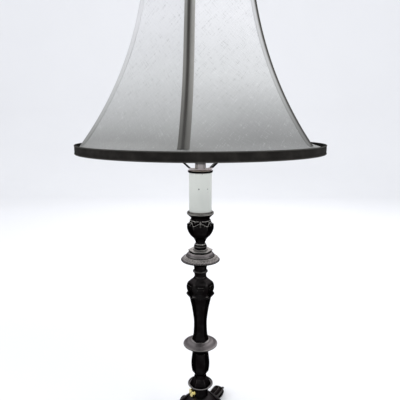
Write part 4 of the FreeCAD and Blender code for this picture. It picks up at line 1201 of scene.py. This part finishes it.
# ---------------------------------------------------------------- harp, socket, bulb
class LAMP_OT_harp(bpy.types.Operator):
    """Harp, its saddle, ferrules and the coupling nut"""
    bl_idname = "lamp.harp"
    bl_label = "Harp"

    def execute(self, context):
        look = context.scene.lamp_metal
        dark = paint_bronze(look, "harp_metal", 0.3)
        repaint(dark, "harp", "harp_top", "harp_ferrule_right", "harp_ferrule_left")
        foot, top = extent("harp_saddle")[:2]
        place(self.strap(foot), "stand", "bronze", self.strap_paint(look, foot), "harp_saddle")
        for side in (-1, 1):
            post = revolved("harp_post_%s" % ("right" if side > 0 else "left"),
                            [[(0.1, foot + POST_FOOT), (2.0, foot + POST_FOOT)], [(2.0, top - 0.4)],
                             [(1.6, top), (0.1, top)]], hole=0.0, columns=32)
            reach = side * POST_REACH
            shift(post, reach * math.cos(HARP_TURN), reach * math.sin(HARP_TURN))
            place(post, "stand", "bronze", dark)
        repaint(paint_pewter(look, extent("coupling_nut")[1]), "coupling_nut")
        return {"FINISHED"}

    def strap(self, foot):
        """A flat bar bent up at 45 degrees and level again at its ends: the centre line's
        corners are rounded by a running mean, and a rounded rectangle follows it."""
        thick, wide = 2.7, 12.0
        corners = np.array([(-37.5, 15.2), (-29.2, 15.2), (-14.2, 1.35),
                            (14.2, 1.35), (29.2, 15.2), (37.5, 15.2)])
        step = np.concatenate([[0], np.cumsum(np.linalg.norm(np.diff(corners, axis=0), axis=1))])
        at = np.linspace(0, step[-1], 241)
        line = np.stack([np.interp(at, step, corners[:, 0]), np.interp(at, step, corners[:, 1])], 1)
        padded = np.vstack([line[:1] * 2 - line[8:0:-1], line, line[-1:] * 2 - line[-2:-10:-1]])
        line = np.stack([np.convolve(padded[:, i], np.ones(17) / 17, "valid") for i in (0, 1)], 1)
        way = np.gradient(line, axis=0)
        way /= np.linalg.norm(way, axis=1, keepdims=True)
        round_ = np.linspace(0, 2 * np.pi, 48, endpoint=False)

        def squared(wave):
            return np.sign(wave) * np.abs(wave) ** 0.22

        a, b = squared(np.cos(round_)) * wide / 2, squared(np.sin(round_)) * thick / 2
        u = line[:, :1] - way[:, 1:] * b
        z = foot + line[:, 1:] + way[:, :1] * b
        v = a[None, :] + 0 * u
        return grid_object("harp_strap", swung(u, v, z, HARP_TURN), wrap_columns=True)

    def strap_paint(self, look, foot):
        """Dark patina on the arms; painted light makes the flat under the nut pale grey."""
        p = Paint("strap_metal", Metallic=1.0)
        where = p.where()
        cloud = p.noise(where, 120.0, 4.0)
        # Painted light on the flat's top, as lit from above
        flat = p.ease(p.axis(where, "Z"), (foot + 4.2) * MM, (foot + 2.9) * MM)
        base = p.mix(cloud, tint(look.patina), tint(look.bloom))
        base = p.mix(0.9 * flat, base, tint(look.upward, 1.4))
        return p.vary(Base_Color=base, Roughness=0.34 + 0.14 * cloud, Normal=p.relief(cloud, 0.0002, 0.4))


class LAMP_OT_socket(bpy.types.Operator):
    """Bulb socket and its switch"""
    bl_idname = "lamp.socket"
    bl_label = "Socket"

    def execute(self, context):
        look = context.scene.lamp_metal
        repaint(paint_metal("socket_brass", tint(look.brass, 0.85), 1.0, 0.3), "socket_cap",
                "socket_shell", "screw_shell", "centre_contact")
        repaint(paint_plastic("brown_insulator", (0.10, 0.07, 0.05), 0.6), "socket_liner", "socket_block")
        repaint(paint_plastic("black_switch", (0.02, 0.02, 0.02), 0.4), "switch_knob")
        return {"FINISHED"}


class LAMP_OT_bulb(bpy.types.Operator):
    """Frosted bulb with a threaded base"""
    bl_idname = "lamp.bulb"
    bl_label = "Bulb"

    def execute(self, context):
        foot, top, r = extent("bulb_glass")
        at = heights(foot, top)
        runs = [[(0.2, foot), (13.6, foot)],
                [(15.0, at(0.14)), (0.78 * r, at(0.36)), (r, at(0.64)), (0.93 * r, at(0.80)),
                 (0.62 * r, at(0.945)), (0.2, top)]]
        glass = revolved("frosted_bulb", runs, hole=0.0, columns=96, spacing=1.6)
        place(glass, "bulb", "bulb_glass", paint_glass(), "bulb_glass")
        foot, top, r = extent("bulb_base")
        z = np.linspace(foot + 6.0, top, 60)
        thread = list(zip(r - 0.45 + 0.45 * np.cos(2 * np.pi * (z - foot) / 3.6) * (z < top - 4.0), z))
        runs = [[(0.2, foot), (3.5, foot)], [(3.5, foot + 1.5)],
                [(r - 2.5, foot + 4.0), (r - 1.0, foot + 6.0)], thread[:1], thread[1:], [(r, top)],
                [(0.2, top)]]
        base = revolved("threaded_bulb_base", runs, hole=0.0, columns=96)
        metal = paint_metal("bulb_aluminium", (0.72, 0.72, 0.73), 1.0, 0.28)
        place(base, "bulb", "bulb_metal", metal, "bulb_base")
        return {"FINISHED"}


class LAMP_OT_finial(bpy.types.Operator):
    """Turned finial"""
    bl_idname = "lamp.finial"
    bl_label = "Finial"

    def execute(self, context):
        look = context.scene.lamp_metal
        foot, top, r = extent("finial")
        at = heights(foot, top)
        neck, deep = 4.6, foot + 12.0
        runs = [[(0.1, deep), (FINIAL_BORE, deep)], [(FINIAL_BORE, foot)], [(r - 1.0, foot)],
                [(r, at(0.05)), (r - 0.6, at(0.1)), (neck + 0.8, at(0.17))], [(neck, at(0.24))],
                [(neck + 2.6, at(0.36)), (r - 0.6, at(0.52)), (neck + 2.0, at(0.70)),
                 (neck - 1.6, at(0.84))],
                [(neck - 1.2, at(0.86))], [(neck - 0.6, at(0.92)), (neck - 2.4, at(0.98)), (0.1, top)]]
        made = revolved("turned_finial", runs, hole=0.0, columns=120, spacing=0.5)
        place(soften(made, look.edge), "finial", "bronze", paint_bronze(look, "finial_metal", 0.3), "finial")
        return {"FINISHED"}


# -------------------------------------------------------------------------- stage
class LAMP_OT_stage(bpy.types.Operator):
    """Floor, soft light and the camera"""
    bl_idname = "lamp.stage"
    bl_label = "Stage"

    def execute(self, context):
        look = context.scene.lamp_stage
        scene = context.scene
        scene.view_settings.view_transform = "Standard"
        self.floor(look)
        self.world(look)
        self.lamp("key", (1.3, -0.9, 1.7), 1.2, look.key)
        self.lamp("fill", (-1.5, -0.7, 1.1), 1.6, look.key * 0.45)
        self.lamp("back", (0.2, 1.6, 1.6), 1.6, look.key * 0.9)
        data = bpy.data.cameras.new("camera")
        data.lens = look.lens
        data.sensor_width = FILM_WIDTH
        data.clip_end = 50.0
        camera = bpy.data.objects.new("camera", data)
        scene.collection.objects.link(camera)
        camera.location = (CAMERA_ASIDE, -look.distance, look.height)
        camera.rotation_euler = (math.radians(90 - look.tilt), 0.0, 0.0)
        scene.camera = camera
        return {"FINISHED"}

    def floor(self, look):
        """A floor that turns up into a wall: flat, a quarter circle, then upright."""
        reach, radius, tall = 2.2, 0.6, 3.0
        bend = np.linspace(0, math.pi / 2, 24)
        y = np.concatenate([[-3.0], reach + radius * np.sin(bend), [reach + radius]])
        z = np.concatenate([[0.0], radius - radius * np.cos(bend), [tall]])
        x = np.linspace(-4.0, 4.0, 5)
        y, z = y[:, None] + 0 * x, z[:, None] + 0 * x
        made = grid_object("floor", np.stack([x + 0 * y, y, z], 2) / MM)
        p = Paint("pale_floor", Specular_IOR_Level=0.1)
        light = tuple(min(1.0, c) for c in tint(look.floor, 1.03))
        shade = p.mix(p.noise(p.where(), 3.0), tint(look.floor), light)
        made.data.materials.append(p.vary(Base_Color=shade, Roughness=0.9))

    def world(self, look):
        """Even, slightly cool light from all round."""
        world = bpy.data.worlds.new("even_light")
        world.use_nodes = True
        tree = world.node_tree
        tree.nodes["Background"].inputs["Color"].default_value = (0.94, 0.96, 1.0, 1.0)
        tree.nodes["Background"].inputs["Strength"].default_value = look.sky
        bpy.context.scene.world = world

    def lamp(self, name, location, size, power):
        """A soft square light turned to the middle of the object."""
        data = bpy.data.lights.new(name, "AREA")
        data.size = size
        data.energy = power
        made = bpy.data.objects.new(name, data)
        bpy.context.scene.collection.objects.link(made)
        made.location = location
        away = Vector(location) - Vector((0.0, 0.0, 0.45))
        made.rotation_euler = away.to_track_quat("Z", "Y").to_euler()


# ------------------------------------------------------------------------- add-on
class LAMP_PT_panel(bpy.types.Panel):
    """Settings and pieces of the lamp"""
    bl_idname = "LAMP_PT_panel"
    bl_label = "Candlestick lamp"
    bl_space_type = "VIEW_3D"
    bl_region_type = "UI"
    bl_category = "Lamp"

    def draw(self, context):
        for name, group in SETTINGS.items():
            box = self.layout.box()
            box.label(text=group.__doc__)
            for key in group.__annotations__:
                box.prop(getattr(context.scene, name), key)
        for operator in OPERATORS:
            self.layout.operator(operator.bl_idname)


SETTINGS = {"lamp_metal": LampMetal, "lamp_candle": LampCandle, "lamp_shade": LampShade,
            "lamp_stage": LampStage}
OPERATORS = (
    LAMP_OT_shade_cover, LAMP_OT_shade_lining, LAMP_OT_shade_tapes, LAMP_OT_shade_bands,
    LAMP_OT_shade_frame, LAMP_OT_turned_pieces, LAMP_OT_drip_plate, LAMP_OT_six_sided_pieces,
    LAMP_OT_vase, LAMP_OT_urn, LAMP_OT_candle, LAMP_OT_hub, LAMP_OT_legs, LAMP_OT_hardware,
    LAMP_OT_harp, LAMP_OT_socket, LAMP_OT_bulb, LAMP_OT_finial, LAMP_OT_stage,
)


def register():
    for made in (*SETTINGS.values(), *OPERATORS, LAMP_PT_panel):
        bpy.utils.register_class(made)
    for name, group in SETTINGS.items():
        setattr(bpy.types.Scene, name, PointerProperty(type=group))


def unregister():
    for name in SETTINGS:
        delattr(bpy.types.Scene, name)
    for made in reversed((*SETTINGS.values(), *OPERATORS, LAMP_PT_panel)):
        bpy.utils.unregister_class(made)


def main():
    register()
    for operator in OPERATORS:
        group, name = operator.bl_idname.split(".")
        getattr(getattr(bpy.ops, group), name)()


if __name__ == "__main__":
    main()
